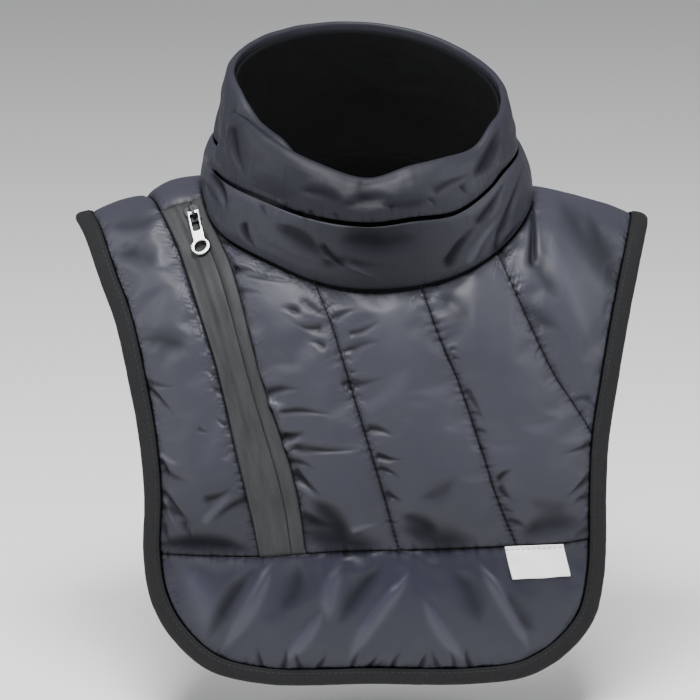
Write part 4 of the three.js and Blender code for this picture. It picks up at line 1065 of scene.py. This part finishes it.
def roll_cloth(section, rows, end_bottom, end_top, flat_sides, tone, seed):
    """A padded roll of the collar as a closed tube along the neck, less puffed at its sides.

    The tone gives how deep the painted shade lies on its middle, at an angle round the neck, and on its
    sides.
    """
    bm = cloth_mesh()
    layer = bm.verts.layers.float
    bmesh.ops.create_grid(bm, x_segments=COLLAR_COLUMNS, y_segments=rows, size=0.5)
    for vert in bm.verts:
        u, v = vert.co.x + 0.5, 0.5 + vert.co.y
        end = end_bottom + (end_top - end_bottom) * min(v / END["front"], (1 - v) / END["back"], 1)
        angle = COLLAR_START + (end - COLLAR_START) * u
        level, wall_lift, out_lift, full = section(angle, v)
        inner, wall, swell, height = collar_frame(angle, level)
        free = freedom(angle)
        puff = between(ROLL_PUFF, free) * (1 - flat_sides * math.sin(angle * RAD) ** 2)
        ends = min(u, 1 - u) * (end - COLLAR_START) * RAD * COLLAR_AROUND
        shut = math.sqrt(1 - (1 - min(ends / END["round"], 1)) ** 2)
        spot = Vector((angle / ROLL_UNEVEN["pitch"], level * ROLL_UNEVEN["rows"], seed))
        uneven = noise.noise(spot) * UNEVEN["height"] * min(full * UNEVEN["rise"], 1)
        wall_lift = END["lift"] + (wall_lift - END["lift"]) * (END["least"] + (1 - END["least"]) * shut)
        place = inner + wall * wall_lift + swell * ((puff * out_lift + uneven) * shut)
        vert.co = place * MM
        vert[layer["across"]] = angle * RAD * COLLAR_AROUND
        vert[layer["down"]] = -v * height * ROLL_HEIGHTS
        vert[layer["fullness"]] = full * shut
        vert[layer["reach"]] = between(ROLL_REACH, free) * MM * min(full * ROLL_REACH["rise"], 1) * shut
        middle = max(math.cos((angle - tone["at"]) * RAD), 0) ** tone["narrow"]
        vert[layer["crease_and_painted_shade"]] = tone["side"] + (tone["middle"] - tone["side"]) * middle
    bmesh.ops.remove_doubles(bm, verts=bm.verts, dist=WELD * MM)
    bmesh.ops.holes_fill(bm, edges=[edge for edge in bm.edges if edge.is_boundary], sides=0)
    bmesh.ops.recalc_face_normals(bm, faces=bm.faces)
    for face in bm.faces:
        face.smooth = True
    measure_seams(bm, 1, lambda vert, near: vert[layer["across"]] * MM)
    return bm


# Sheets
def sheet_cloth(columns, rows, place):
    """A cloth laid on a grid: place gives each point and its spot on the flat cloth.

    It takes the shares across and down the cloth.
    """
    bm = cloth_mesh()
    layer = bm.verts.layers.float
    bmesh.ops.create_grid(bm, x_segments=columns, y_segments=rows, size=0.5)
    for vert in bm.verts:
        vert.co, vert[layer["across"]], vert[layer["down"]] = place(vert.co.x + 0.5, 0.5 - vert.co.y)
    return bm


def face_out(bm, centre):
    """Turns every face away from a point."""
    bmesh.ops.recalc_face_normals(bm, faces=bm.faces)
    total = sum(face.normal.dot(face.calc_center_median() - centre) for face in bm.faces)
    if total < 0:
        bmesh.ops.reverse_faces(bm, faces=bm.faces)
    for face in bm.faces:
        face.smooth = True


def make_sheet(name, bm, centre, thickness, slot, nodes, cloth, mapped=True):
    """Gives a cloth its outer side and thickness, and makes it a piece on the garment."""
    face_out(bm, centre)
    piece = add_object(name, bm)
    modifier = piece.modifiers.new("thickness", "SOLIDIFY")
    modifier.thickness = thickness
    modifier.offset = -1
    if mapped:
        map_pattern(piece.data)
    finish_piece(piece, GARMENT, slot, nodes, cloth)
    return piece


LINING = {
    "columns": 190, "rows": 36, "top": 5, "bottom": 0.01, "levels": 1.99, "inset": 0.5, "fold": 1.1,
    "bias": 0.3, "flat": (0.53, 0.1), "area": 0.038, "thickness": 0.0015, "level_height": 42,
}
LINING_FOLDS = {"pitch": 13, "rows": 1.6, "seed": 7}
LINING_CREASES = {"pitch": 5, "rows": 4, "seed": 2, "share": 0.4}
COLLAR_MIDDLE = 40


def lining_place(u, v):
    """The fleece facing inside the rolls, up to just under the rim."""
    v = 1 - v
    angle = COLLAR_START + (LINING_END - COLLAR_START) * u
    height = collar_frame(angle, 2)[3]
    level = LINING["bottom"] + (LINING["levels"] - (LINING["top"] + underlap_drop(angle)) / height) * v
    folds, creases = (
        noise.noise(Vector((angle / kind["pitch"], level * kind["rows"], kind["seed"])))
        for kind in (LINING_FOLDS, LINING_CREASES))
    soft = max(folds + LINING_CREASES["share"] * creases + LINING["bias"], 0)
    inward = LINING["inset"] + LINING["fold"] * soft * math.sin(math.pi * v) ** 0.5
    place = (collar_frame(angle, level)[0] - radial_way(angle) * inward) * MM
    return place, angle * RAD * COLLAR_AROUND, -level * LINING["level_height"]


# Zip tapes
TAPE_TOP = (
    (0, 1.5), (0.03, 2.2), (0.055, 2.9), (0.085, 2.3), (0.2, 2.2), (0.3, 2.1), (0.4, 2.9),
    (0.5, 2.4), (0.64, 2.4), (0.68, 2.1), (0.697, 1.7), (0.703, 1.7), (0.72, 2.3), (0.8, 2.9),
    (0.9, 2.6), (0.97, 2.2), (1, 1.2),
)
TAPE = {"rows": 120, "width": 0.027, "length": 0.235, "thickness": 0.0008}
# Sewn end: its share of the length, how far it runs under the hem panel, its share of the seam's lift
TAPE_END = {"share": 0.02, "under": 0.9, "lift": 0.8}
TAPE_WAVE = {"height": 0.18, "across": 3, "pitch": 11, "seed": 4}
TAPE_CORNER = 2 / 15


def tape_places(start, end):
    """One coated tape of the zip, between two shares of the zip's width."""
    c = CORNER
    top = through(TAPE_TOP)
    left = line_run(zip_left, c["zip_left_top"], c["zip_left_hem"])
    short = line_run(zip_right, c["zip_right_top"], c["zip_right_hem"])
    right = chain(neck_run(ZIP_TOP_ANGLE, ZIP_ANGLE), short, TAPE_CORNER)

    def place(u, v):
        share = start + (end - start) * u
        sewn = smooth(1 - TAPE_END["share"], 1, v)
        point = left(v).lerp(right(v), share)
        point.y += TAPE_END["under"] * sewn
        spot = Vector((share * TAPE_WAVE["across"], point.y / TAPE_WAVE["pitch"], TAPE_WAVE["seed"]))
        lift = top(share) + TAPE_WAVE["height"] * noise.noise(spot)
        lift = lift * (1 - sewn) + TAPE_END["lift"] * SEAM_LIFT * sewn
        return form_point(point.x, point.y, lift), share * TAPE["width"] / MM, point.y
    return place


# Edge binding
RIBBON_IN = ((0, 10.5), (0.1, 9.2), (0.25, 6.6), (0.4, 3), (0.49, 0.8), (0.56, 0), (0.63, 0.8),
             (0.72, 3), (1, 10.5))
RIBBON_LIFT = ((0, 3.3), (0.1, 4.2), (0.25, 4.8), (0.4, 4.7), (0.49, 3.6), (0.56, 1.6),
               (0.63, -0.5), (0.72, -1.4), (1, -1.4))
BINDING = {"columns": 600, "rows": 16, "width": 0.027, "length": 1.53, "thickness": 0.0009}
BINDING_PUCKER = {"height": 0.35, "ring": 34, "rows": 2}
ribbon_in, ribbon_lift = through(RIBBON_IN), through(RIBBON_LIFT)


def binding_place(u, v):
    """The ribbon folded over the bib's edge, all the way round."""
    v = 1 - v
    turn = u * 2 * math.pi
    spot = Vector((math.cos(turn), math.sin(turn), 0)) * BINDING_PUCKER["ring"]
    spot += Vector((0, 0, v * BINDING_PUCKER["rows"]))
    pucker = BINDING_PUCKER["height"] * noise.noise(spot) * math.sin(math.pi * v)
    point = edge_point(u * len(OUTLINE), ribbon_in(v))
    place = form_point(point.x, point.y, ribbon_lift(v) + pucker)
    return place, u * BINDING["length"] / MM, v * BINDING["width"] / MM


# Label
LABEL = {
    "x": 81.5, "width": 37, "height": 20, "turn": -11.5, "above": 0.45, "curl": 1.1, "tuck": 0.5,
    "curl_middle": 0.4, "thickness": 0.0005, "columns": 36, "rows": 20, "softened": 4, "beside": 3,
}
LOOK_FROM = 25
LOOK_REACH = 0.03


def label_spot(u, v):
    """Pattern point of the label, u across and v down."""
    turn = LABEL["turn"] * RAD
    across, down = LABEL["width"] * u, LABEL["height"] * v
    x = LABEL["x"] + across * math.cos(turn) - down * math.sin(turn)
    s = hem(LABEL["x"]) - LABEL["tuck"] + across * math.sin(turn) + down * math.cos(turn)
    return x, s


def lay_on(name, lift):
    """Gives a function that finds a pattern point on a finished piece, or at a lift beside it."""
    bpy.context.view_layer.update()
    surface = BVHTree.FromObject(bpy.data.objects[name], bpy.context.evaluated_depsgraph_get())

    def find(x, s):
        hit = surface.ray_cast(form_point(x, s, LOOK_FROM), -body_normal(x, s), LOOK_REACH)[0]
        return form_point(x, s, lift) if hit is None else hit
    return find


def label_cloth():
    """A woven strip lying on the hem panel, its lower edge a little curled."""
    on_hem = lay_on("hem", LABEL["beside"])
    middle = LABEL["curl_middle"]

    def place(u, v):
        x, s = label_spot(u, v)
        curl = LABEL["curl"] * smooth(0.5, 1, v) * (middle + (1 - middle) * (2 * u - 1) ** 2)
        lift = body_normal(x, s) * ((LABEL["above"] + curl) * MM)
        return on_hem(x, s) + lift, u * LABEL["width"], v * LABEL["height"]

    bm = sheet_cloth(LABEL["columns"], LABEL["rows"], place)
    for _ in range(LABEL["softened"]):
        bmesh.ops.smooth_vert(
            bm, verts=bm.verts, factor=0.5, use_axis_x=True, use_axis_y=True, use_axis_z=True)
    return bm


# Stitches
STITCH = {"length": 2.5, "gap": 0.9, "radius": 0.27, "around": 6, "along": 5, "batch": 40}
QUILT_STEPS = 160
BINDING_STITCH = {"inset": 8.4, "lift": 4.45, "steps": 600}
LABEL_STITCH = {"from": 0.04, "span": 0.92, "down": 0.12, "steps": 20, "beside": 4}
QUILT_LINES = (
    (quilt_1, "neck_1", "quilt_1_hem"), (quilt_2, "neck_2", "quilt_2_hem"),
    (quilt_3, "neck_3", "quilt_3_end"),
)


def sew(bm, points, ways):
    """Puts a row of stitches along points in metres, each lying flat to its outward way."""
    places = stitch_places(points, ways)
    for i in range(0, len(places), STITCH["batch"]):
        batch = bmesh.new()
        for place in places[i:i + STITCH["batch"]]:
            bmesh.ops.create_uvsphere(batch, u_segments=STITCH["around"], v_segments=STITCH["along"],
                                      radius=STITCH["radius"] * MM, matrix=place)
        mesh = bpy.data.meshes.new("stitches")
        batch.to_mesh(mesh)
        batch.free()
        bm.from_mesh(mesh)
        bpy.data.meshes.remove(mesh)


def stitch_places(points, ways):
    step = (STITCH["length"] + STITCH["gap"]) * MM
    size = Matrix.Diagonal((STITCH["length"] / 2 / STITCH["radius"], 1, 1, 1))
    places = []
    gone = 0
    for start, end, way in zip(points, points[1:], ways):
        along = end - start
        length = along.length
        while gone < length:
            ahead = along.normalized()
            side = way.cross(ahead).normalized()
            turned = Matrix((ahead, side, ahead.cross(side))).transposed().to_4x4()
            turned.translation = start + along * (gone / length)
            places.append(turned @ size @ Matrix.Rotation(math.pi / 2, 4, "Y"))
            gone += step
        gone -= length
    return places


def sew_run(bm, run, lift, count):
    """Stitches along a line of the pattern."""
    places = [run(i / count) for i in range(count + 1)]
    sew(bm, [form_point(p.x, p.y, lift) for p in places], [body_normal(p.x, p.y) for p in places])


# Zip hardware
SLIDER = {
    "plate": 1.4, "length": 12.6, "width": 9.4, "tail": 7.2, "over": 0.5, "shoulder": 1, "cut": 2,
    "round": 1.5, "rim": 0.45, "thinner": 0.4, "lower_rim": 0.35,
}
BRIDGE = {
    "width": 1.7, "reach": 4.4, "leg": 1.2, "height": 5, "bar": 1, "foot": -0.4, "cut": 1.2,
    "round": 0.9, "rim": 0.35,
}
POST = {"width": 2.4, "length": 2.6, "at": 4.2, "round": 0.5, "into": 1, "rim": 0.1}
HANDLE = {
    "thickness": 1.3, "arm": 4, "neck": 3.6, "top": 1.3, "side": 0.6, "cut": 0.8, "round": 0.6,
    "slot": 2.4, "slot_top": -1.1, "slot_end": 12.5, "slot_lean": 0.3, "slot_round": 1.2,
    "throat": 1, "ring_at": 23.4, "ring": 5.7, "ring_steps": 36, "rim": 0.5,
}
EYE = {"along": 4.1, "across": 3.2, "turn": 35, "steps": 32}
SLIDER_REACH = 4
PIVOT = {"height": 2.3, "along": -1.3}
HANDLE_REST = 5.5
HANDLE_YAW = 15
TAPE_TOP_LIFT = 2.4
TAPE_DEPTH = 3.7
RIM_STEPS = 3


def hardware_frame():
    """The slider's own frame: +Y up the zip, +Z away from the tapes."""
    def meeting(s):
        return Vector((zip_left(s), s)).lerp(Vector((zip_right(s), s)), ZIP_CENTRE)
    here, above, below = (meeting(SLIDER_S + step) for step in (0, -SLIDER_REACH, SLIDER_REACH))
    up = (body_point(*above) - body_point(*below)).normalized()
    out = body_normal(*here)
    turned = Matrix((up.cross(out).normalized(), up, out)).transposed().to_4x4()
    turned.translation = form_point(here.x, here.y, TAPE_TOP_LIFT + SLIDER["over"])
    return turned


def add_plate(bm, loops, thickness, bevel, place):
    """Adds a plate with rounded rims, cut from closed outlines in millimetres."""
    curve = bpy.data.curves.new("plate", "CURVE")
    curve.dimensions = "2D"
    curve.fill_mode = "BOTH"
    curve.extrude = (thickness / 2 - bevel) * MM
    curve.bevel_depth = bevel * MM
    curve.bevel_resolution = RIM_STEPS
    curve.offset = -bevel * MM
    for loop in loops:
        spline = curve.splines.new("POLY")
        spline.points.add(len(loop) - 1)
        for point, (x, y) in zip(spline.points, loop):
            point.co = (x * MM, y * MM, 0, 1)
        spline.use_cyclic_u = True
    shape = bpy.data.objects.new("plate", curve)
    mesh = bpy.data.meshes.new_from_object(shape)
    mesh.transform(place)
    bm.from_mesh(mesh)
    bpy.data.meshes.remove(mesh)
    bpy.data.objects.remove(shape)
    bpy.data.curves.remove(curve)


ROUND_STEPS = 4
CORNER_SHARE = 0.45


def rounded(loop, radius):
    """The loop with its corners rounded."""
    points = []
    for i, corner in enumerate(loop):
        here = Vector(corner)
        back = Vector(loop[i - 1]) - here
        ahead = Vector(loop[(i + 1) % len(loop)]) - here
        reach = min(radius, back.length * CORNER_SHARE, ahead.length * CORNER_SHARE)
        start, end = here + back.normalized() * reach, here + ahead.normalized() * reach
        for k in range(ROUND_STEPS + 1):
            t = k / ROUND_STEPS
            points.append(tuple(start * (1 - t) ** 2 + here * (2 * t * (1 - t)) + end * t ** 2))
    return points


def move(x=0, y=0, z=0):
    return Matrix.Translation(Vector((x, y, z)) * MM)


def mirrored(half):
    """A closed outline from the points of its right half, from the bottom up."""
    return [(-x, y) for x, y in reversed(half)] + list(half)


def slider_mesh():
    """Two plates with a post between them, and the bridge that holds the pull."""
    top, half, tail = SLIDER["length"] / 2, SLIDER["width"] / 2, SLIDER["tail"] / 2
    shoulder, cut = SLIDER["shoulder"], SLIDER["cut"]
    body = rounded(mirrored((
        (tail - shoulder, -top), (tail, -top + shoulder), (half, shoulder), (half, top - cut),
        (half - cut, top))), SLIDER["round"])
    reach, height, foot, cut = BRIDGE["reach"], BRIDGE["height"], BRIDGE["foot"], BRIDGE["cut"]
    inner, under = reach - BRIDGE["leg"], height - BRIDGE["bar"]
    arch = rounded([
        (-reach, foot), (-reach, height - cut), (-reach + cut, height), (reach - cut, height),
        (reach, height - cut), (reach, foot), (inner, foot), (inner, under), (-inner, under),
        (-inner, foot)], BRIDGE["round"])
    wide, long = POST["width"] / 2, POST["length"] / 2
    post = rounded(mirrored(((wide, -long), (wide, long))), POST["round"])
    bm = bmesh.new()
    plate = SLIDER["plate"]
    lower = plate - SLIDER["thinner"]
    add_plate(bm, [body], plate, SLIDER["rim"], move(z=plate / 2))
    add_plate(bm, [body], lower, SLIDER["lower_rim"], move(z=-TAPE_DEPTH - lower / 2))
    add_plate(bm, [post], TAPE_DEPTH + POST["into"], POST["rim"], move(y=POST["at"], z=-TAPE_DEPTH / 2))
    stand = Matrix(((0, 0, 1), (1, 0, 0), (0, 1, 0))).to_4x4()
    add_plate(bm, [arch], BRIDGE["width"], BRIDGE["rim"], move(z=plate) @ stand)
    return bm


def handle_mesh():
    """The pull: a slotted arm for the bridge and a ring with a slanted eye."""
    arm, slot, end, neck = HANDLE["arm"], HANDLE["slot"], HANDLE["slot_end"], HANDLE["neck"]
    at, ring, top, cut = HANDLE["ring_at"], HANDLE["ring"], HANDLE["top"], HANDLE["cut"]
    join = math.asin(neck / ring)
    steps = HANDLE["ring_steps"]
    turns = [math.pi / 2 + join + (2 * math.pi - 2 * join) * i / steps for i in range(steps + 1)]
    outline = rounded([(arm, HANDLE["side"]), (arm - cut, top), (-arm + cut, top),
                       (-arm, HANDLE["side"])], HANDLE["round"])
    outline += [(-neck, -end + HANDLE["throat"])]
    outline += [(ring * math.cos(turn), -at + ring * math.sin(turn)) for turn in turns]
    outline += [(neck, -end + HANDLE["throat"])]
    window = rounded([(-slot, HANDLE["slot_top"]), (slot, HANDLE["slot_top"]),
                      (slot - HANDLE["slot_lean"], -end), (HANDLE["slot_lean"] - slot, -end)],
                     HANDLE["slot_round"])
    tilt = Matrix.Rotation(EYE["turn"] * RAD, 2)
    eye = []
    for i in range(EYE["steps"]):
        turn = -2 * math.pi * i / EYE["steps"]
        spot = tilt @ Vector((EYE["along"] * math.cos(turn), EYE["across"] * math.sin(turn)))
        eye.append((spot.x, spot.y - at))
    bm = bmesh.new()
    add_plate(bm, [outline, window, eye], HANDLE["thickness"], HANDLE["rim"], Matrix())
    return bm


# Settings
def shade(name, description, default):
    return bpy.props.FloatVectorProperty(
        name=name, description=description, default=default, subtype="COLOR", size=3, min=0, max=1)


class NeckWarmerPadding(bpy.types.PropertyGroup):
    """How the cloth is filled."""

    puff: bpy.props.FloatProperty(
        name="Puff", description="Height of a padded field over its seams", default=0.0065,
        unit="LENGTH", min=0)
    pressure: bpy.props.FloatProperty(name="Pressure", description="Push of the filling", default=1.0)
    slack: bpy.props.FloatProperty(
        name="Slack", description="Share of extra cloth between seams", default=0.008,
        subtype="FACTOR", min=0, max=1)
    bending: bpy.props.FloatProperty(name="Bending", description="Stiffness of the cloth", default=1.5)
    frames: bpy.props.IntProperty(name="Frames", description="Length of each simulation", default=18)


class NeckWarmerColours(bpy.types.PropertyGroup):
    """Colours of the cloths."""

    shell: shade("Shell", "Main nylon", (0.0287, 0.03, 0.042))
    hem: shade("Hem", "Nylon of the hem panel", (0.0125, 0.0137, 0.0248))
    ribbon: shade("Ribbon", "Edge binding", (0.0072, 0.0075, 0.0083))
    tape: shade("Tape", "Coated zip tapes", (0.0112, 0.0127, 0.0136))


# Operators
SHELL_ROUGHNESS = 0.5
HEM_ROUGHNESS = 0.46
# Name, fields, node, slot and how deep in painted shade the lower part lies
PANELS = (
    ("chest", chest_fields, "chest_panel", "nylon_shell", 0.4),
    ("side", side_fields, "side_panel", "nylon_shell", 0.65),
    ("patch", patch_fields, "shoulder_patch", "nylon_shell", 0),
    ("hem", hem_fields, "hem_panel", "nylon_hem", 0),
    ("back", back_fields, "back_panel", "nylon_shell", 0),
)


def shell_nylon(context):
    return material("Slate nylon", context.scene.neck_warmer_colours.shell, SHELL_ROUGHNESS, nylon)


def black_fleece():
    return material("Black fleece", FLEECE["color"], FLEECE["roughness"], fleece)


class OBJECT_OT_panels(bpy.types.Operator):
    """Make the padded panels of the bib"""

    bl_idname = "neck_warmer.panels"
    bl_label = "Panels"

    def execute(self, context):
        settings = context.scene.neck_warmer_padding
        dark = context.scene.neck_warmer_colours.hem
        cloths = {
            "nylon_shell": shell_nylon(context),
            "nylon_hem": material("Navy nylon", dark, HEM_ROUGHNESS, nylon),
        }
        for seed, (name, fields, node, slot, depth) in enumerate(PANELS, 1):
            bm = cloth_mesh()
            fields(bm)
            make_panel(name, bm, settings, slot, node, (cloths[slot], black_fleece()), depth, seed)
        return {"FINISHED"}


# Name, section, rows, how flat the sides are, painted shade and seed
ROLLS = (
    ("lower", lower_section, 27, 0.4, LOWER_PAINTED_SHADE, 6),
    ("upper", upper_section, 36, 0.85, UPPER_PAINTED_SHADE, 7),
)


class OBJECT_OT_collar(bpy.types.Operator):
    """Make the two rolls of the collar and their fleece lining"""

    bl_idname = "neck_warmer.collar"
    bl_label = "Collar"

    def execute(self, context):
        settings = context.scene.neck_warmer_padding
        shell = shell_nylon(context)
        for name, section, rows, flat, tone, seed in ROLLS:
            ends = FLAP[f"{name}_bottom"], FLAP[f"{name}_top"]
            bm = roll_cloth(section, rows, *ends, flat, tone, seed)
            make_padded(f"collar_{name}", bm, settings, "nylon_shell", f"collar_{name}_band", (shell,))
        bm = sheet_cloth(LINING["columns"], LINING["rows"], lining_place)
        bm.normal_update()
        centre = Vector((*NECK_AXIS, COLLAR_MIDDLE)) * MM
        lining = make_sheet("lining", bm, centre, LINING["thickness"], "fleece_lining",
                            ["collar_lining"], black_fleece(), mapped=False)
        return {"FINISHED"}


# Name, its shares of the zip's width, columns, node and flat width
TAPES = (
    ("tape_side", 0, ZIP_CENTRE, 40, "zip_tape_side", 0.022),
    ("tape_chest", ZIP_CENTRE, 1, 20, "zip_tape_chest", 0.012),
)
BINDING_MIDDLE = Vector((0, 0, -0.1))


class OBJECT_OT_trims(bpy.types.Operator):
    """Make the zip tapes, the edge binding, the label and the stitches"""

    bl_idname = "neck_warmer.trims"
    bl_label = "Trims"

    def execute(self, context):
        colours = context.scene.neck_warmer_colours
        coating = material("Coated tape", colours.tape, COATING["roughness"], coated)
        for name, start, end, columns, node, width in TAPES:
            bm = sheet_cloth(columns, TAPE["rows"], tape_places(start, end))
            tape = make_sheet(name, bm, VIEW_TARGET, TAPE["thickness"], "zip_tape", [node], coating)
        bm = sheet_cloth(BINDING["columns"], BINDING["rows"], binding_place)
        bmesh.ops.remove_doubles(bm, verts=bm.verts, dist=WELD * MM)
        knitted = material("Knitted ribbon", colours.ribbon, RIBBON["roughness"], ribbon)
        nodes = [f"edge_binding_{side}" for side in ("hem", "right", "back", "left")]
        binding = make_sheet(
            "binding", bm, BINDING_MIDDLE, BINDING["thickness"], "edge_binding", nodes, knitted)
        woven = material("White label", SATIN["color"], SATIN["roughness"], satin)
        label = make_sheet("woven_label", label_cloth(), VIEW_TARGET, LABEL["thickness"],
                           "label_tape", ["label"], woven)
        self.stitches()
        return {"FINISHED"}

    def stitches(self):
        bm = bmesh.new()
        for curve, top, bottom in QUILT_LINES:
            sew_run(bm, line_run(curve, CORNER[top], CORNER[bottom]), SEAM_LIFT, QUILT_STEPS)
        sew_run(bm, lambda t: edge_point(t * len(OUTLINE), BINDING_STITCH["inset"]),
                BINDING_STITCH["lift"], BINDING_STITCH["steps"])
        for face in bm.faces:
            face.smooth = True
        self.add_stitches("stitches", bm, "nylon_shell", "dark")
        bm = bmesh.new()
        steps = LABEL_STITCH["steps"]
        spots = [label_spot(LABEL_STITCH["from"] + LABEL_STITCH["span"] * i / steps,
                            LABEL_STITCH["down"]) for i in range(steps + 1)]
        on_label = lay_on("woven_label", LABEL_STITCH["beside"])
        sew(bm, [on_label(x, s) for x, s in spots], [body_normal(x, s) for x, s in spots])
        self.add_stitches("label_stitches", bm, "label_tape", "grey")

    def add_stitches(self, name, bm, slot, tone):
        spun = material(f"{tone.title()} thread", THREAD[tone], THREAD["roughness"], spun_thread)
        finish_piece(add_object(name, bm), GARMENT, slot, (), spun)


METAL_WELD = 0.000005


class OBJECT_OT_hardware(bpy.types.Operator):
    """Make the zip's slider and its pull"""

    bl_idname = "neck_warmer.hardware"
    bl_label = "Zip hardware"

    def execute(self, context):
        place = hardware_frame()
        pivot = move(y=PIVOT["along"], z=SLIDER["plate"] + PIVOT["height"])
        yaw = Matrix.Rotation(-HANDLE_YAW * RAD, 4, "Z")
        hang = Matrix.Rotation(HANDLE_REST * RAD, 4, "X")
        enamel = material("Black enamel", ENAMEL["color"], ENAMEL["roughness"], rubbed_enamel)
        nickel = material("Nickel plate", NICKEL["color"], NICKEL["roughness"], plated)
        for name, bm, here, body, slot, node, metal in (
            ("slider", slider_mesh(), place, GARMENT, "slider_metal", "zip_slider", enamel),
            ("handle", handle_mesh(), place @ pivot @ yaw @ hang, PULL, "nickel", "zip_pull", nickel),
        ):
            bmesh.ops.transform(bm, matrix=here, verts=bm.verts)
            bmesh.ops.remove_doubles(bm, verts=bm.verts, dist=METAL_WELD)
            bmesh.ops.recalc_face_normals(bm, faces=bm.faces)
            finish_piece(add_object(name, bm), body, slot, [node], metal)
        return {"FINISHED"}


FLOOR = {"size": 6, "height": -0.3, "color": (0.93, 0.93, 0.93), "roughness": 0.9}
STUDIO = {"color": (0.95, 0.96, 1, 1), "strength": 0.27}
# Name, place, size in metres and power in watts
LIGHTS = (
    ("left", (-1.6, -0.45, 0.7), 0.8, 14), ("right", (1.6, -0.45, 0.7), 0.8, 13),
    ("top", (-0.1, -0.8, 1.6), 0.9, 72),
)


class OBJECT_OT_stage(bpy.types.Operator):
    """Set the floor, the lights and the camera"""

    bl_idname = "neck_warmer.stage"
    bl_label = "Stage"

    def execute(self, context):
        bm = bmesh.new()
        bmesh.ops.create_grid(bm, x_segments=1, y_segments=1, size=FLOOR["size"])
        bmesh.ops.translate(bm, verts=bm.verts, vec=(0, 0, FLOOR["height"]))
        floor = add_object("floor", bm)
        floor.data.materials.append(material("Pale floor", FLOOR["color"], FLOOR["roughness"]))
        world = bpy.data.worlds.new("Pale studio")
        world.use_nodes = True
        background = world.node_tree.nodes["Background"].inputs
        background["Color"].default_value = STUDIO["color"]
        background["Strength"].default_value = STUDIO["strength"]
        context.scene.world = world
        for name, place, size, power in LIGHTS:
            light = bpy.data.lights.new(name, "AREA")
            light.size = size
            light.energy = power
            add_aimed(name, light, place, VIEW_TARGET - Vector(place))
        camera = bpy.data.cameras.new("camera")
        camera.sensor_width = SENSOR_WIDTH
        camera.lens = SENSOR_WIDTH * VIEW_DISTANCE / VIEW_SCALE / PHOTO_SIZE
        context.scene.camera = add_aimed("camera", camera, VIEW_PLACE, VIEW_DIRECTION)
        return {"FINISHED"}


def add_aimed(name, data, place, way):
    """Adds a light or camera that looks along a way."""
    item = bpy.data.objects.new(name, data)
    item.location = place
    item.rotation_mode = "QUATERNION"
    item.rotation_quaternion = way.to_track_quat("-Z", "Y")
    bpy.context.scene.collection.objects.link(item)
    return item


class VIEW3D_PT_neck_warmer(bpy.types.Panel):
    """Buttons that build the neck warmer"""

    bl_label = "Neck warmer"
    bl_space_type = "VIEW_3D"
    bl_region_type = "UI"
    bl_category = "Neck warmer"

    def draw(self, context):
        for group in (context.scene.neck_warmer_padding, context.scene.neck_warmer_colours):
            for key in group.__annotations__:
                self.layout.prop(group, key)
        for step in STEPS:
            self.layout.operator(step.bl_idname)


STEPS = (
    OBJECT_OT_panels, OBJECT_OT_collar, OBJECT_OT_trims, OBJECT_OT_hardware, OBJECT_OT_stage)
CLASSES = (NeckWarmerPadding, NeckWarmerColours, *STEPS, VIEW3D_PT_neck_warmer)


def register():
    for item in CLASSES:
        bpy.utils.register_class(item)
    bpy.types.Scene.neck_warmer_padding = bpy.props.PointerProperty(type=NeckWarmerPadding)
    bpy.types.Scene.neck_warmer_colours = bpy.props.PointerProperty(type=NeckWarmerColours)


def unregister():
    del bpy.types.Scene.neck_warmer_padding
    del bpy.types.Scene.neck_warmer_colours
    for item in reversed(CLASSES):
        bpy.utils.unregister_class(item)


def main():
    register()
    bpy.ops.neck_warmer.panels()
    bpy.ops.neck_warmer.collar()
    bpy.ops.neck_warmer.trims()
    bpy.ops.neck_warmer.hardware()
    bpy.ops.neck_warmer.stage()


if __name__ == "__main__":
    main()
